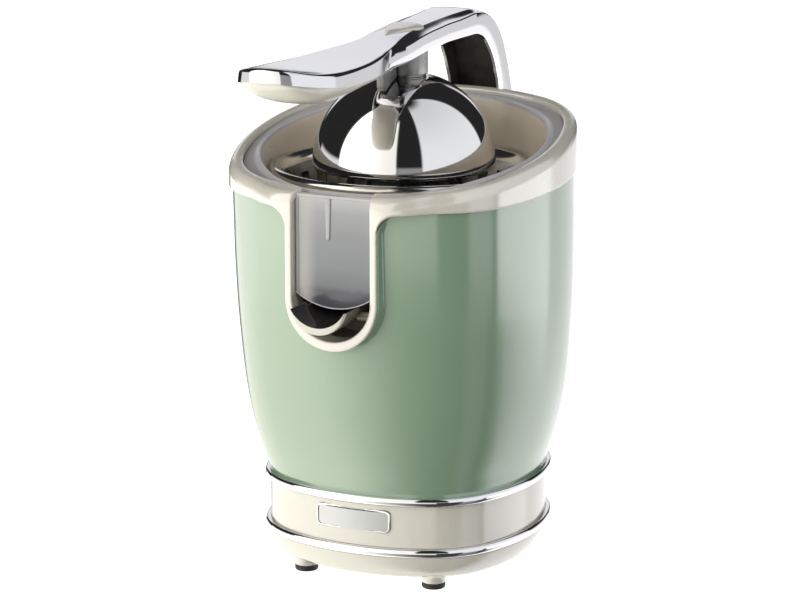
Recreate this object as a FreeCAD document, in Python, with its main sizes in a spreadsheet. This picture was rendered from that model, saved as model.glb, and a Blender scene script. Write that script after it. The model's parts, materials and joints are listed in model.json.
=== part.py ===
import FreeCAD, Part
import Sketcher
import math
import os

# Electric citrus juicer with a lever arm.  Millimetres, +Z up, floor at z = 0, front of the machine towards -Y.
# Every sub-part is drawn about the reamer spindle (x = 0, y = 0) and then placed so that the origin of the whole
# machine is the middle of its footprint box on the floor.

V = FreeCAD.Vector
C = Sketcher.Constraint
doc = FreeCAD.newDocument("citrus_juicer")
sheet = doc.addObject("Spreadsheet::Sheet", "sizes")


def num(x):
    return x.value if isinstance(x, Size) else float(x)


def txt(x):
    if isinstance(x, Size):
        return x.text
    t = repr(round(float(x), 5))
    return "(%s)" % t if float(x) < 0 else t


def mix(a, sign, b):
    x, y = num(a), num(b)
    value = {"+": x + y, "-": x - y, "*": x * y}.get(sign)
    if value is None:
        value = x / y
    return Size(value, "(%s %s %s)" % (txt(a), sign, txt(b)))


class Size:
    """A length of the sheet, or a sum of them, with the expression that it stands for."""

    def __init__(self, value, text):
        self.value, self.text = float(value), text

    def __add__(self, o):
        return mix(self, "+", o)

    def __radd__(self, o):
        return mix(o, "+", self)

    def __sub__(self, o):
        return mix(self, "-", o)

    def __rsub__(self, o):
        return mix(o, "-", self)

    def __mul__(self, o):
        return mix(self, "*", o)

    def __rmul__(self, o):
        return mix(o, "*", self)

    def __truediv__(self, o):
        return mix(self, "/", o)

    def __neg__(self):
        return mix(0, "-", self)


rows = [0]


def size(name, value, note):
    rows[0] += 1
    r = rows[0]
    sheet.set("A%d" % r, name)
    sheet.set("B%d" % r, str(value))
    sheet.set("C%d" % r, note)
    sheet.setAlias("B%d" % r, name)
    return Size(value, "sizes." + name)


# ---------------------------------------------------------------- driving sizes
spindle_y = size("spindle_y", 22.8, "spindle axis behind the middle of the footprint")
floor_z = size("floor_z", 2.3, "floor above the datum that the heights below are measured from")
base_shift = size("base_shift", 7.24, "centre of the base plan behind the spindle")
wall = size("shell_wall", 2.4, "wall of the moulded shells")
band_half = size("band_half", 77.1, "plan size of the base band")
ring_half = size("ring_half", 80.0, "plan size of the bright trim rings")
ring_in = size("ring_inner", 77.25, "plan size of the hole in the trim rings")
collar_half = size("collar_half", 95.1, "plan size of the collar")
rim_half = size("rim_half", 87.4, "plan size of the hole in the collar rim")
dish_z = size("dish_floor", 9.6, "underside of the base dish")
ring1_z = size("lower_ring_z", 23.1, "underside of the lower trim ring")
band_z = size("band_z", 27.8, "underside of the base band")
ring2_z = size("upper_ring_z", 51.9, "underside of the upper trim ring")
shell_z = size("shell_z", 56.5, "top of the upper trim ring")
foot_rad = size("foot_radius", 6.5, "rubber foot")
foot_high = size("foot_top", 5.6, "top of the rubber foot")
foot_x = size("foot_x", 38.7, "foot spacing, half")
foot_front = size("foot_front", -45.7, "front feet")
foot_back = size("foot_back", 60.1, "rear feet")
opening_rad = size("opening_radius", 78.8, "round opening of the bowl")
filter_rad = size("filter_radius", 74.0, "outer radius of the filter rim")
filter_z = size("filter_top", 226.5, "top of the filter rim")
dome_rad = size("dome_radius", 50.4, "outer radius of the press dome")
dome_z = size("dome_centre", 228.0, "height of the dome's centre")
dome_wall = size("dome_wall", 1.4, "sheet of the dome")
hub_rad = size("hub_radius", 13.0, "hub between arm and dome")
bar_half = size("bar_half", 16.0, "half width of the arm bar and leg")
pivot_y = size("pivot_y", 109.0, "arm hinge behind the spindle")
pivot_z = size("pivot_z", 232.0, "arm hinge height")
pivot_rad = size("pivot_pin", 3.0, "hinge pin radius")
ear_rad = size("ear_radius", 14.0, "round of the hinge ears")
ear_in = size("ear_inner", 16.45, "inner face of the hinge ears")
ear_out = size("ear_outer", 24.0, "outer face of the hinge ears")
frame_half = size("frame_half", 27.5, "spout frame outer half width")
frame_in = size("frame_inner", 23.7, "spout frame inner half width")
frame_y = size("frame_front", -94.0, "front face of the spout frame")
motor_y = size("motor_y", 7.5, "motor axis behind the spindle")
idler_y = size("idler_y", 45.0, "intermediate axis behind the spindle")
plate_z = size("plate_z", 120.0, "underside of the chassis plate")
plate_top = size("plate_top", 122.5, "top of the chassis plate")
cover_z = size("cover_z", 151.0, "underside of the gearbox cover")
cover_top = size("cover_top", 153.5, "top of the gearbox cover")
deck_z = size("deck_z", 164.0, "underside of the deck")
deck_top = size("deck_top", 167.0, "top of the deck")
spindle_rad = size("spindle_radius", 4.0, "spindle radius")
run = size("running_fit", 0.05, "radial clearance of the running fits")
post_x = size("post_x", 50.0, "tie bolt spacing across, half")
post_y = size("post_y", 34.0, "tie bolt spacing front to back, half")
cone_rad = size("cone_radius", 40.0, "skirt of the reamer")
cone_z = size("cone_z", 203.0, "underside of the reamer")
doc.recompute()

# rounded-square plan: the same eight arcs at every size
SIDE = 1.36
back = ((SIDE - 1.03) ** 2 - (SIDE - 0.97) ** 2) / (2 * (SIDE - 0.97) * math.sqrt(0.5) - 2 * (SIDE - 1.03))
CORNER = 1.03 - back
PHI = math.atan2(back * math.sqrt(0.5), back * math.sqrt(0.5) + SIDE - 0.97)
nodes = {}


def bind(obj, prop, q):
    if isinstance(q, Size):
        obj.setExpression(prop, q.text)
    else:
        setattr(obj, prop, float(q))


def body(label):
    b = doc.addObject("PartDesign::Body", label)
    b.Label = label
    return b


def finish(label, obj, x=0, y=0, z=0):
    """Names a sub-part and puts it at its place in the machine's own frame."""
    obj.Label = label
    obj.Placement = FreeCAD.Placement(V(num(x), num(spindle_y + y), num(z) - num(floor_z)), FreeCAD.Rotation())
    obj.setExpression("Placement.Base.y", (spindle_y + y).text)
    if isinstance(x, Size):
        obj.setExpression("Placement.Base.x", x.text)
    obj.setExpression("Placement.Base.z", (-floor_z + z).text)
    nodes[label] = obj
    return obj


def free(label, shape, x=0, y=0, z=0):
    """A sub-part whose shape is worked out directly from the sheet's sizes."""
    o = doc.addObject("Part::Feature", label)
    o.Shape = shape
    return finish(label, o, x, y, z)


def sketch(b, plane, at=0):
    """Sketch on an origin plane of its own body; `at` is the height, or the y of an XZ sketch, or the x of a YZ one."""
    s = b.newObject("Sketcher::SketchObject", b.Name + "_outline")
    role = [f for f in b.Origin.OriginFeatures if f.Role == plane + "_Plane"][0]
    s.AttachmentSupport = [(role, "")]
    s.MapMode = "FlatFace"
    off = -at if plane == "XZ" else at
    s.AttachmentOffset = FreeCAD.Placement(V(0, 0, num(off)), FreeCAD.Rotation())
    if isinstance(off, Size):
        s.setExpression("AttachmentOffset.Base.z", off.text)
    return s


def pin(s, g, p, x, y):
    for kind, q, axis in (("DistanceX", x, -2), ("DistanceY", y, -1)):
        v = num(q)
        if abs(v) < 1e-9:
            s.addConstraint(C("PointOnObject", g, p, axis))
            continue
        k = s.addConstraint(C(kind, -1, 1, g, p, v) if v > 0 else C(kind, g, p, -1, 1, -v))
        if isinstance(q, Size):
            s.setExpression("Constraints[%d]" % k, q.text if v > 0 else (-q).text)


def poly(s, pts):
    n = len(pts)
    lines = [
        Part.LineSegment(V(num(a[0]), num(a[1]), 0), V(num(b[0]), num(b[1]), 0))
        for a, b in zip(pts, pts[1:] + pts[:1])
    ]
    g = s.addGeometry(lines, False)[0]
    s.addConstraint([C("Coincident", g + i, 2, g + (i + 1) % n, 1) for i in range(n)])
    for i, (x, y) in enumerate(pts):
        pin(s, g + i, 1, x, y)
    return s


def circle(s, x, y, r):
    g = s.addGeometry(Part.Circle(V(num(x), num(y), 0), V(0, 0, 1), num(r)), False)
    k = s.addConstraint(C("Radius", g, num(r)))
    if isinstance(r, Size):
        s.setExpression("Constraints[%d]" % k, r.text)
    if abs(num(x)) < 1e-9 and abs(num(y)) < 1e-9:
        s.addConstraint(C("Coincident", g, 3, -1, 1))
    else:
        pin(s, g, 3, x, y)
    return s


def rounded(s, cx, cy, w, h, r):
    """Rectangle with round corners."""
    x0, x1, y0, y1 = num(cx - w / 2 if isinstance(w, Size) else cx - w / 2.0), num(cx + w / 2.0), num(cy - h / 2.0), num(cy + h / 2.0)
    q = num(r)
    corners = [(x1 - q, y0 + q, -90), (x1 - q, y1 - q, 0), (x0 + q, y1 - q, 90), (x0 + q, y0 + q, 180)]
    geo = []
    for i, (x, y, a) in enumerate(corners):
        a0, a1 = math.radians(a), math.radians(a + 90)
        geo.append(Part.ArcOfCircle(Part.Circle(V(x, y, 0), V(0, 0, 1), q), a0, a1))
        nx, ny, na = corners[(i + 1) % 4]
        b0 = math.radians(na)
        geo.append(
            Part.LineSegment(
                V(x + q * math.cos(a1), y + q * math.sin(a1), 0), V(nx + q * math.cos(b0), ny + q * math.sin(b0), 0)
            )
        )
    g = s.addGeometry(geo, False)[0]
    cons = [C("Tangent", g + i, 2, g + (i + 1) % 8, 1) for i in range(8)]
    cons += [C("Vertical", g + 1), C("Horizontal", g + 3)]
    cons += [C("Equal", g, g + k) for k in (2, 4, 6)]
    s.addConstraint(cons)
    k = s.addConstraint(C("Radius", g, q))
    if isinstance(r, Size):
        s.setExpression("Constraints[%d]" % k, r.text)
    pin(s, g + 2, 3, cx + w / 2.0 - r, cy + h / 2.0 - r)
    pin(s, g + 6, 3, cx - w / 2.0 + r, cy - h / 2.0 + r)
    return s


def squircle(s, half, yc):
    """The machine's plan outline: four long side arcs and four corner arcs, all tangent."""
    a, y0 = num(half), num(yc)
    rs, rc = SIDE * a, CORNER * a
    cs, cc = 0.97 * a - rs, (1.03 * a - rc)
    geo = []
    for k in range(4):
        d = math.radians(90 * k)
        e = d + math.radians(45)
        geo.append(
            Part.ArcOfCircle(Part.Circle(V(cs * math.cos(d), cs * math.sin(d) + y0, 0), V(0, 0, 1), rs), d - PHI, d + PHI)
        )
        geo.append(
            Part.ArcOfCircle(
                Part.Circle(V(cc * math.cos(e), cc * math.sin(e) + y0, 0), V(0, 0, 1), rc), d + PHI, d + math.radians(90) - PHI
            )
        )
    g = s.addGeometry(geo, False)[0]
    cons = [C("Tangent", g + k, 2, g + (k + 1) % 8, 1) for k in range(8)]
    cons += [C("Equal", g, g + k) for k in (2, 4, 6)] + [C("Equal", g + 1, g + k) for k in (3, 5, 7)]
    s.addConstraint(cons)
    for geo_id, f, r in ((g, SIDE, rs), (g + 1, CORNER, rc)):
        k = s.addConstraint(C("Radius", geo_id, r))
        if isinstance(half, Size):
            s.setExpression("Constraints[%d]" % k, (half * f).text)
    pin(s, g + 2, 3, 0, yc + half * (0.97 - SIDE))
    pin(s, g, 3, half * (0.97 - SIDE), yc)
    return s


def feature(b, kind, s, **values):
    f = b.newObject("PartDesign::" + kind, b.Name + "_" + kind.lower())
    f.Profile = s
    for k, q in values.items():
        if isinstance(q, (Size, float)):
            bind(f, k, q)
        else:
            setattr(f, k, q)
    return f


def pad(b, s, length, **kw):
    return feature(b, "Pad", s, Length=length if isinstance(length, Size) else float(length), **kw)


def cut(b, s, length, **kw):
    """Pocket, with a test that it really removed something."""
    doc.recompute()
    before = b.Shape.Volume
    f = feature(b, "Pocket", s, Length=length if isinstance(length, Size) else float(length), **kw)
    doc.recompute()
    if not b.Shape.Volume < before - 0.01:
        raise ValueError("the pocket cuts nothing: " + b.Label)
    return f


def turn(b, pts, kind="Revolution"):
    """Body of revolution about Z from (radius, height) points."""
    s = poly(sketch(b, "XZ"), pts)
    f = b.newObject("PartDesign::" + kind, b.Name + "_" + kind.lower())
    f.Profile = s
    f.ReferenceAxis = (s, ["V_Axis"])
    f.Angle = 360.0
    return f


def ring(label, r_in, r_out, z0, z1, x=0, y=0):
    b = body(label)
    s = sketch(b, "XY", z0)
    circle(s, 0, 0, r_out)
    if num(r_in) > 0:
        circle(s, 0, 0, r_in)
    pad(b, s, z1 - z0)
    return finish(label, b, x, y)


def polar(b, f, count):
    p = b.newObject("PartDesign::PolarPattern", b.Name + "_pattern")
    p.Originals = [f]
    p.Axis = ([a for a in b.Origin.OriginFeatures if a.Role == "Z_Axis"][0], [""])
    p.Angle = 360.0
    p.Occurrences = count
    b.Tip = p
    return p


def round_edges(b, pick, radius, kind="Fillet"):
    doc.recompute()
    base = b.Tip
    names = ["Edge%d" % (i + 1) for i, e in enumerate(base.Shape.Edges) if pick(e)]
    f = b.newObject("PartDesign::" + kind, b.Name + "_" + kind.lower())
    f.Base = (base, names)
    bind(f, "Radius" if kind == "Fillet" else "Size", radius if isinstance(radius, Size) else float(radius))
    return f


def at_height(z):
    return lambda e: abs(e.BoundBox.ZMin - num(z)) < 1e-4 and abs(e.BoundBox.ZMax - num(z)) < 1e-4


def plan_wire(half, yc, z):
    """The plan outline as a wire, for the shells that are shaped directly."""
    a, y0 = num(half), num(yc)
    rs, rc = SIDE * a, CORNER * a
    cs, cc = 0.97 * a - rs, 1.03 * a - rc
    edges = []
    for k in range(4):
        d = math.radians(90 * k)
        e = d + math.radians(45)
        edges.append(Part.ArcOfCircle(Part.Circle(V(cs * math.cos(d), cs * math.sin(d) + y0, z), V(0, 0, 1), rs), d - PHI, d + PHI).toShape())
        edges.append(Part.ArcOfCircle(Part.Circle(V(cc * math.cos(e), cc * math.sin(e) + y0, z), V(0, 0, 1), rc), d + PHI, d + math.radians(90) - PHI).toShape())
    return Part.Wire(edges)


def prism(half, yc, z0, z1):
    return Part.Face(plan_wire(half, yc, num(z0))).extrude(V(0, 0, num(z1) - num(z0)))


def under(z0, slope, reach=200.0, deep=400.0):
    """Everything below the plane z = z0 + slope * y."""
    p = [V(-reach, -reach, num(z0) - slope * reach), V(-reach, reach, num(z0) + slope * reach),
         V(-reach, reach, num(z0) - deep), V(-reach, -reach, num(z0) - deep)]
    return Part.Face(Part.makePolygon(p + [p[0]])).extrude(V(2 * reach, 0, 0))


def box(x0, x1, y0, y1, z0, z1):
    return Part.makeBox(num(x1) - num(x0), num(y1) - num(y0), num(z1) - num(z0), V(num(x0), num(y0), num(z0)))


def arch(half, zc, y0, y1, top):
    """A U-shaped bar seen from the front: round below, straight sides up to `top`."""
    h, z, y0, y1, t = num(half), num(zc), num(y0), num(y1), num(top)
    w = Part.Wire([
        Part.Arc(V(-h, y0, z), V(0, y0, z - h), V(h, y0, z)).toShape(),
        Part.makeLine(V(h, y0, z), V(h, y0, t)),
        Part.makeLine(V(h, y0, t), V(-h, y0, t)),
        Part.makeLine(V(-h, y0, t), V(-h, y0, z)),
    ])
    return Part.Face(w).extrude(V(0, y1 - y0, 0))


def cylinder(r, p, d, length):
    return Part.makeCylinder(num(r), num(length), V(*[num(c) for c in p]), V(*d))


# ---------------------------------------------------------------- base
b = body("base_dish")
sections = []
for z, half in ((dish_z, 70.0), (dish_z + 1.3, 72.4), (dish_z + 3.8, 74.8), (dish_z + 7.2, 76.9), (ring1_z, 78.8)):
    sections.append(squircle(sketch(b, "XY", z), half, base_shift))
loft = b.newObject("PartDesign::AdditiveLoft", "base_dish_loft")
loft.Profile = sections[0]
loft.Sections = sections[1:]
loft.Ruled = True
pad(b, squircle(sketch(b, "XY", ring1_z), band_half - 0.15, base_shift), band_z - ring1_z)
pad(b, squircle(sketch(b, "XY", band_z), band_half - wall - 0.3, base_shift), 4.0)
for i, (x, y) in enumerate(((-foot_x, foot_front), (foot_x, foot_front), (-foot_x, foot_back), (foot_x, foot_back))):
    cone = b.newObject("PartDesign::AdditiveCone", "base_dish_post")
    cone.AttachmentSupport = [([f for f in b.Origin.OriginFeatures if f.Role == "XY_Plane"][0], "")]
    cone.MapMode = "FlatFace"
    cone.AttachmentOffset = FreeCAD.Placement(V(num(x), num(y), num(foot_high)), FreeCAD.Rotation())
    cone.setExpression("AttachmentOffset.Base.x", x.text)
    cone.setExpression("AttachmentOffset.Base.y", y.text)
    cone.setExpression("AttachmentOffset.Base.z", foot_high.text)
    bind(cone, "Radius1", foot_rad)
    bind(cone, "Radius2", foot_rad + 3.0)
    bind(cone, "Height", dish_z - foot_high + 1.0)
cut(b, squircle(sketch(b, "XY", band_z + 4.2), 71.6, base_shift), band_z + 4.2 - dish_z - 6.0)
cut(b, squircle(sketch(b, "XY", dish_z + 6.5), 68.0, base_shift), 4.0)
s = sketch(b, "XY", foot_high)
for x in (-foot_x, foot_x):
    for y in (foot_front, foot_back):
        circle(s, x, y, 2.6)
cut(b, s, 3.2, Reversed=True)
s = sketch(b, "XY", dish_z + 4.0)
for sx in (-1, 1):
    for sy in (-1, 1):
        circle(s, post_x * sx, base_shift + post_y * sy, 2.2)
cut(b, s, 5.0)
slot = cut(b, rounded(sketch(b, "XY", dish_z + 4.0), -24.0, base_shift, 3.6, 34.0, 1.5), 5.0)
row = b.newObject("PartDesign::LinearPattern", "base_dish_vents")
row.Originals = [slot]
row.Direction = ([a for a in b.Origin.OriginFeatures if a.Role == "X_Axis"][0], [""])
row.Length = 48.0
row.Occurrences = 7
b.Tip = row
finish("base_dish", b)

foot = body("rubber_foot")
turn(foot, [(0, floor_z), (foot_rad - 0.8, floor_z), (foot_rad, floor_z + 0.8), (foot_rad, foot_high), (2.5, foot_high), (2.5, foot_high + 3.0), (0, foot_high + 3.0)])
doc.recompute()


def group(label, proto, places):
    """Identical pieces of one kind: separate solids, one node."""
    doc.recompute()
    solids = []
    for x, y, z in places:
        c = proto.Shape.copy()
        c.Placement = FreeCAD.Placement(V(num(x), num(y), num(z)), FreeCAD.Rotation())
        solids.append(c)
    return free(label, Part.makeCompound(solids))


group("rubber_feet", foot, [(x, y, 0) for x in (-foot_x, foot_x) for y in (foot_front, foot_back)])

for label, z in (("lower_trim_ring", ring1_z), ("upper_trim_ring", ring2_z)):
    b = body(label)
    s = squircle(sketch(b, "XY", z), ring_half, base_shift)
    squircle(s, ring_in, base_shift)
    high = shell_z - ring2_z if label == "upper_trim_ring" else band_z - ring1_z
    pad(b, s, high)
    outer = num(ring_half) * 0.96
    zz = (num(z), num(z + high))
    round_edges(b, lambda e: abs(e.BoundBox.ZMax - e.BoundBox.ZMin) < 1e-4 and math.hypot(e.CenterOfMass.x, e.CenterOfMass.y - num(base_shift)) > 76.6 and e.Curve.Radius in (e.Curve.Radius,) and any(abs(e.Curve.Radius - f * num(ring_half)) < 0.05 for f in (SIDE, CORNER)), 1.3)
    finish(label, b)

b = body("base_band")
s = squircle(sketch(b, "XY", band_z), band_half, base_shift)
squircle(s, band_half - wall, base_shift)
pad(b, s, ring2_z - band_z)
cut(b, circle(sketch(b, "XZ", 60.0), 0, 40.0, 6.0), 40.0)
finish("base_band", b)

# blank nameplate that follows the band's front
blank = body("nameplate_blank")
pad(blank, rounded(sketch(blank, "XZ", -50.0), 0, 42.4, 44.0, 12.6, 3.0), 30.0)
layer = body("nameplate_layer")
s = squircle(sketch(layer, "XY", 30.0), band_half + 1.5, base_shift)
squircle(s, band_half + 0.02, base_shift)
pad(layer, s, 20.0)
plate = doc.addObject("Part::MultiCommon", "nameplate")
plate.Shapes = [blank, layer]
finish("nameplate", plate)

# ---------------------------------------------------------------- body shell
profile = ((56.5, 77.1), (60.0, 78.2), (64.0, 79.3), (74.0, 82.5), (88.0, 85.9), (105.0, 88.7), (130.0, 91.0), (160.0, 92.7), (190.0, 93.3), (222.0, 93.35), (250.0, 93.35))


def between(x, table):
    for (a, p), (c, q) in zip(table, table[1:]):
        if x <= c:
            return p + (q - p) * (x - a) / (c - a) if x > a else p
    return table[-1][1]


def centre(z):
    return num(base_shift) * (1.0 - (z - 54.0) / 186.0)


def drum(off):
    return Part.makeLoft([plan_wire(h + off, centre(z), z) for z, h in profile], True, False)


outer_drum = drum(0.0)
shell = outer_drum.fuse(prism(band_half - 0.15, base_shift, ring2_z, num(shell_z) + 0.01)).cut(drum(-num(wall)))
shell = shell.cut(prism(band_half - 0.15 - num(wall), base_shift, num(ring2_z) - 1, num(shell_z) + 1))
shell = shell.common(under(229.5, 0.11))
# a raised lip round the front opening carries the flange of the spout frame
lip = arch(26.9, 168.5, -91.7, -80.0, 204.0).cut(drum(-num(wall)))
shell = shell.fuse(lip).cut(arch(25.75, 168.8, -120.0, -55.0, 260.0))
for x in (-11.0, 11.0):
    shell = shell.cut(cylinder(2.1, (x, 80.0, 200.0), (0, 1, 0), 20.0))
free("body_shell", shell)

# ---------------------------------------------------------------- collar with the spout frame
CREST, LEAN = 242.0, 0.18
top_cut = under(CREST, LEAN)
block = prism(collar_half, 0, 190.0, 270.0).common(top_cut).cut(under(221.0, 0.056))
block = block.cut(prism(rim_half, 0, 180.0, 280.0))
# hollow from below: it takes in the edge of the body shell
hollow = prism(93.9, 0.35, 180.0, 280.0).cut(prism(num(rim_half) + 2.3, 0, 170.0, 290.0)).common(under(CREST - 2.6, LEAN))
block = block.cut(hollow)
# the inner wall of the rim ends above a ledge that carries the bowl
block = block.cut(prism(num(rim_half) + 2.31, 0, 170.0, 290.0).common(under(CREST - 8.2, LEAN)))
ledge = prism(num(rim_half) + 1.0, 0, 180.0, 280.0).cut(prism(84.0, 0, 170.0, 290.0)).common(under(CREST - 5.2, LEAN)).cut(under(CREST - 7.2, LEAN))
collar = block.fuse(ledge)
# webs that run down into the frame, with the round re-entrant corners
web = prism(collar_half, 0, 190.0, 228.0).cut(prism(93.6, 0, 180.0, 240.0)).common(box(-38.0, 38.0, -120.0, -60.0, 204.6, 218.0))
for sx in (-1, 1):
    web = web.cut(cylinder(10.5, (sx * 38.0, -120.0, 205.2), (0, 1, 0), 60.0))
collar = collar.fuse(web)
frame = arch(frame_half, 168.5, frame_y, -79.0, 226.0).common(under(CREST, LEAN))
frame = frame.cut(prism(rim_half, 0, 200.0, 280.0).cut(under(236.8, LEAN)))
# the frame's flange lies on the body shell, a hair in front of it
guard = Part.makeLoft([plan_wire(between(z, profile) + 0.35, centre(z), z) for z in (128.0, 142.0, 158.0, 174.0, 190.0, 206.0, 222.0)], True, True)
frame = frame.cut(guard.common(box(-60, 60, -120, -40, 100, 221.9)).cut(arch(25.6, 168.8, -130.0, -30.0, 260.0)))
frame = frame.cut(arch(30.0, 168.5, -92.0, -60.0, 204.35).cut(arch(25.4, 168.75, -130.0, -30.0, 260.0)))
collar = collar.fuse(frame)
collar = collar.cut(arch(frame_in, 169.2, -130.0, -76.0, 300.0))
for sx in (-1, 1):
    collar = collar.cut(cylinder(2.6, (21.0 * sx, -87.5, 161.0), (sx, 0, 0), 4.4))
collar = collar.removeSplitter()
free("collar", collar)

# recess behind the frame
inner_y = -78.9
channel = arch(25.6, 169.2 - 0.1, inner_y, -57.8, 172.0).cut(arch(frame_in, 169.2, inner_y - 1, -60.0, 180.0))
sides = box(-25.6, 25.6, inner_y, -73.5, 171.9, 215.8).cut(box(-num(frame_in), num(frame_in), inner_y - 1, -70.0, 160.0, 230.0))
free("spout_channel", channel.fuse(sides).removeSplitter())

# ---------------------------------------------------------------- bowl, filter
def bowl_wall(grow, z_low, low_r, up):
    """Solid between a level circle below and the leaning opening above."""
    r = num(opening_rad) + grow
    steps = 72
    lo = [V(low_r * math.cos(2 * math.pi * k / steps), low_r * math.sin(2 * math.pi * k / steps), z_low) for k in range(steps)]
    hi = [V(r * math.cos(2 * math.pi * k / steps), r * math.sin(2 * math.pi * k / steps), 239.3 + up + 0.18 * r * math.sin(2 * math.pi * k / steps)) for k in range(steps)]
    c = []
    for pts in (lo, hi):
        sp = Part.BSplineCurve()
        sp.interpolate(pts, PeriodicFlag=True)
        c.append(Part.Wire([sp.toShape()]))
    return Part.makeLoft(c, True, True)


flange = prism(num(rim_half) - 0.25, 0, 200.0, 280.0).common(under(239.3, 0.18)).cut(under(237.3, 0.18))
bowl = flange.fuse(bowl_wall(2.0, 220.5, 76.5, 0.0).cut(under(0, 0)))
bowl = bowl.cut(bowl_wall(0.0, 222.5, 74.5, 0.03))
bowl = bowl.common(under(239.3, 0.18))
lower = Part.makeCone(68.5, 71.6, 45.0, V(0, 0, 176.0)).fuse(Part.makeCylinder(76.0, 1.2, V(0, 0, 220.9)))
lower = lower.cut(Part.makeCone(66.6, 69.7, 48.0, V(0, 0, 178.2)))
lower = lower.cut(Part.makeCylinder(12.0, 10.0, V(0, 0, 172.0)))
tube = Part.makeCylinder(14.0, 25.0, V(0, 0, 176.0)).cut(Part.makeCylinder(12.0, 30.0, V(0, 0, 174.0)))
chute = box(-23.4, 23.4, -88.5, -60.0, 150.0, 226.0)
chute = chute.cut(box(-21.6, 21.6, -86.5, -50.0, 140.0, 222.6))
chute = chute.cut(cylinder(100.0, (0, 0, 140.0), (0, 0, 1), 34.0).cut(cylinder(86.0, (0, 0, 139.0), (0, 0, 1), 40.0)).common(box(-200, 200, 0, 200, 0, 300)))
arc_cut = box(-30, 30, -100, -40, 130, 178).cut(cylinder(38.3, (0, -120, 163.6 + 38.3), (0, 1, 0), 100))
chute = chute.cut(arc_cut)
chute = chute.cut(box(-30, 30, -86.4, -40, 130, 171.5))
chute = chute.cut(Part.makeCone(66.4, 71.55, 60.0, V(0, 0, 170.0)))
chute = chute.cut(bowl_wall(0.0, 222.5, 74.5, 0.03)).cut(Part.makeCylinder(74.5, 20, V(0, 0, 222.4)))
rib = Part.Face(Part.makePolygon([V(-6.75, -86.6, 224.0), V(-3.95, -86.6, 224.0), V(-4.4, -86.6, 200.5), V(-6.3, -86.6, 200.5), V(-6.75, -86.6, 224.0)])).extrude(V(0, 4.0, 0))
bowl = bowl.fuse([lower, chute, rib]).cut(Part.makeCone(66.6, 69.7, 48.0, V(0, 0, 178.2))).fuse(tube)
bowl = bowl.cut(box(-12.0, 12.0, -76.0, -55.0, 178.3, 190.0))
bowl = bowl.removeSplitter()
free("juice_bowl", bowl)

b = body("filter_basket")
turn(b, [(filter_rad, filter_z), (filter_rad, filter_z - 3.9), (72.9, filter_z - 3.9), (72.9, filter_z - 1.2), (68.7, 223.0), (66.8, 220.0), (62.0, 193.4), (61.0, 192.2),
         (15.0, 192.2), (15.0, 201.5), (16.1, 201.5), (16.1, 193.4), (60.6, 193.4), (65.6, 220.6), (67.8, 223.8), (72.1, filter_z)])
slot = cut(b, rounded(sketch(b, "XZ", -80.0), 0, 205.5, 3.2, 18.0, 1.4), 24.0)
doc.recompute()
polar(b, slot, 28)
doc.recompute()
holes = sketch(b, "XY", 195.0)
for r, a in ((24, 0), (34, 10), (44, 0), (54, 10)):
    rounded(holes, 0, r, 3.4 + r / 9.0, 3.0, 1.2)
h = cut(b, holes, 5.0)
polar(b, h, 12)
finish("filter_basket", b)

# ---------------------------------------------------------------- chassis, gearbox, drive
posts_lower = body("post_lower")
s = circle(sketch(posts_lower, "XY", 0), 0, 0, 5.5)
circle(s, 0, 0, 2.15)
pad(posts_lower, s, plate_z - dish_z - 2.5)
posts_upper = body("post_upper")
s = circle(sketch(posts_upper, "XY", 0), 0, 0, 5.5)
circle(s, 0, 0, 2.15)
pad(posts_upper, s, deck_z - plate_top)
corners = [(post_x * sx, base_shift + post_y * sy) for sx in (-1, 1) for sy in (-1, 1)]
group("lower_posts", posts_lower, [(x, y, dish_z + 2.5) for x, y in corners])
group("upper_posts", posts_upper, [(x, y, plate_top) for x, y in corners])
bolt = body("tie_bolt")
turn(bolt, [(0, 0), (3.8, 0), (3.8, 3.0), (2.0, 3.0), (2.0, deck_top - dish_z + 8.0), (0, deck_top - dish_z + 8.0)])
group("tie_bolts", bolt, [(x, y, dish_z - 3.0) for x, y in corners])
nut = body("tie_nut")
s = poly(sketch(nut, "XY", 0), [(4.0 * math.cos(math.radians(60 * k)), 4.0 * math.sin(math.radians(60 * k))) for k in range(6)])
circle(s, 0, 0, 2.05)
pad(nut, s, 3.2)
group("tie_nuts", nut, [(x, y, deck_top) for x, y in corners])

b = body("chassis_plate")
s = squircle(sketch(b, "XY", plate_z), 84.0, 4.9)
circle(s, 0, motor_y, 10.0)
circle(s, 0, idler_y, 5.0)
for x, y in corners:
    circle(s, x, y, 2.2)
for x in (-27.0, 27.0):
    circle(s, x, motor_y, 1.7)
pad(b, s, plate_top - plate_z)
finish("chassis_plate", b)


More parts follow.
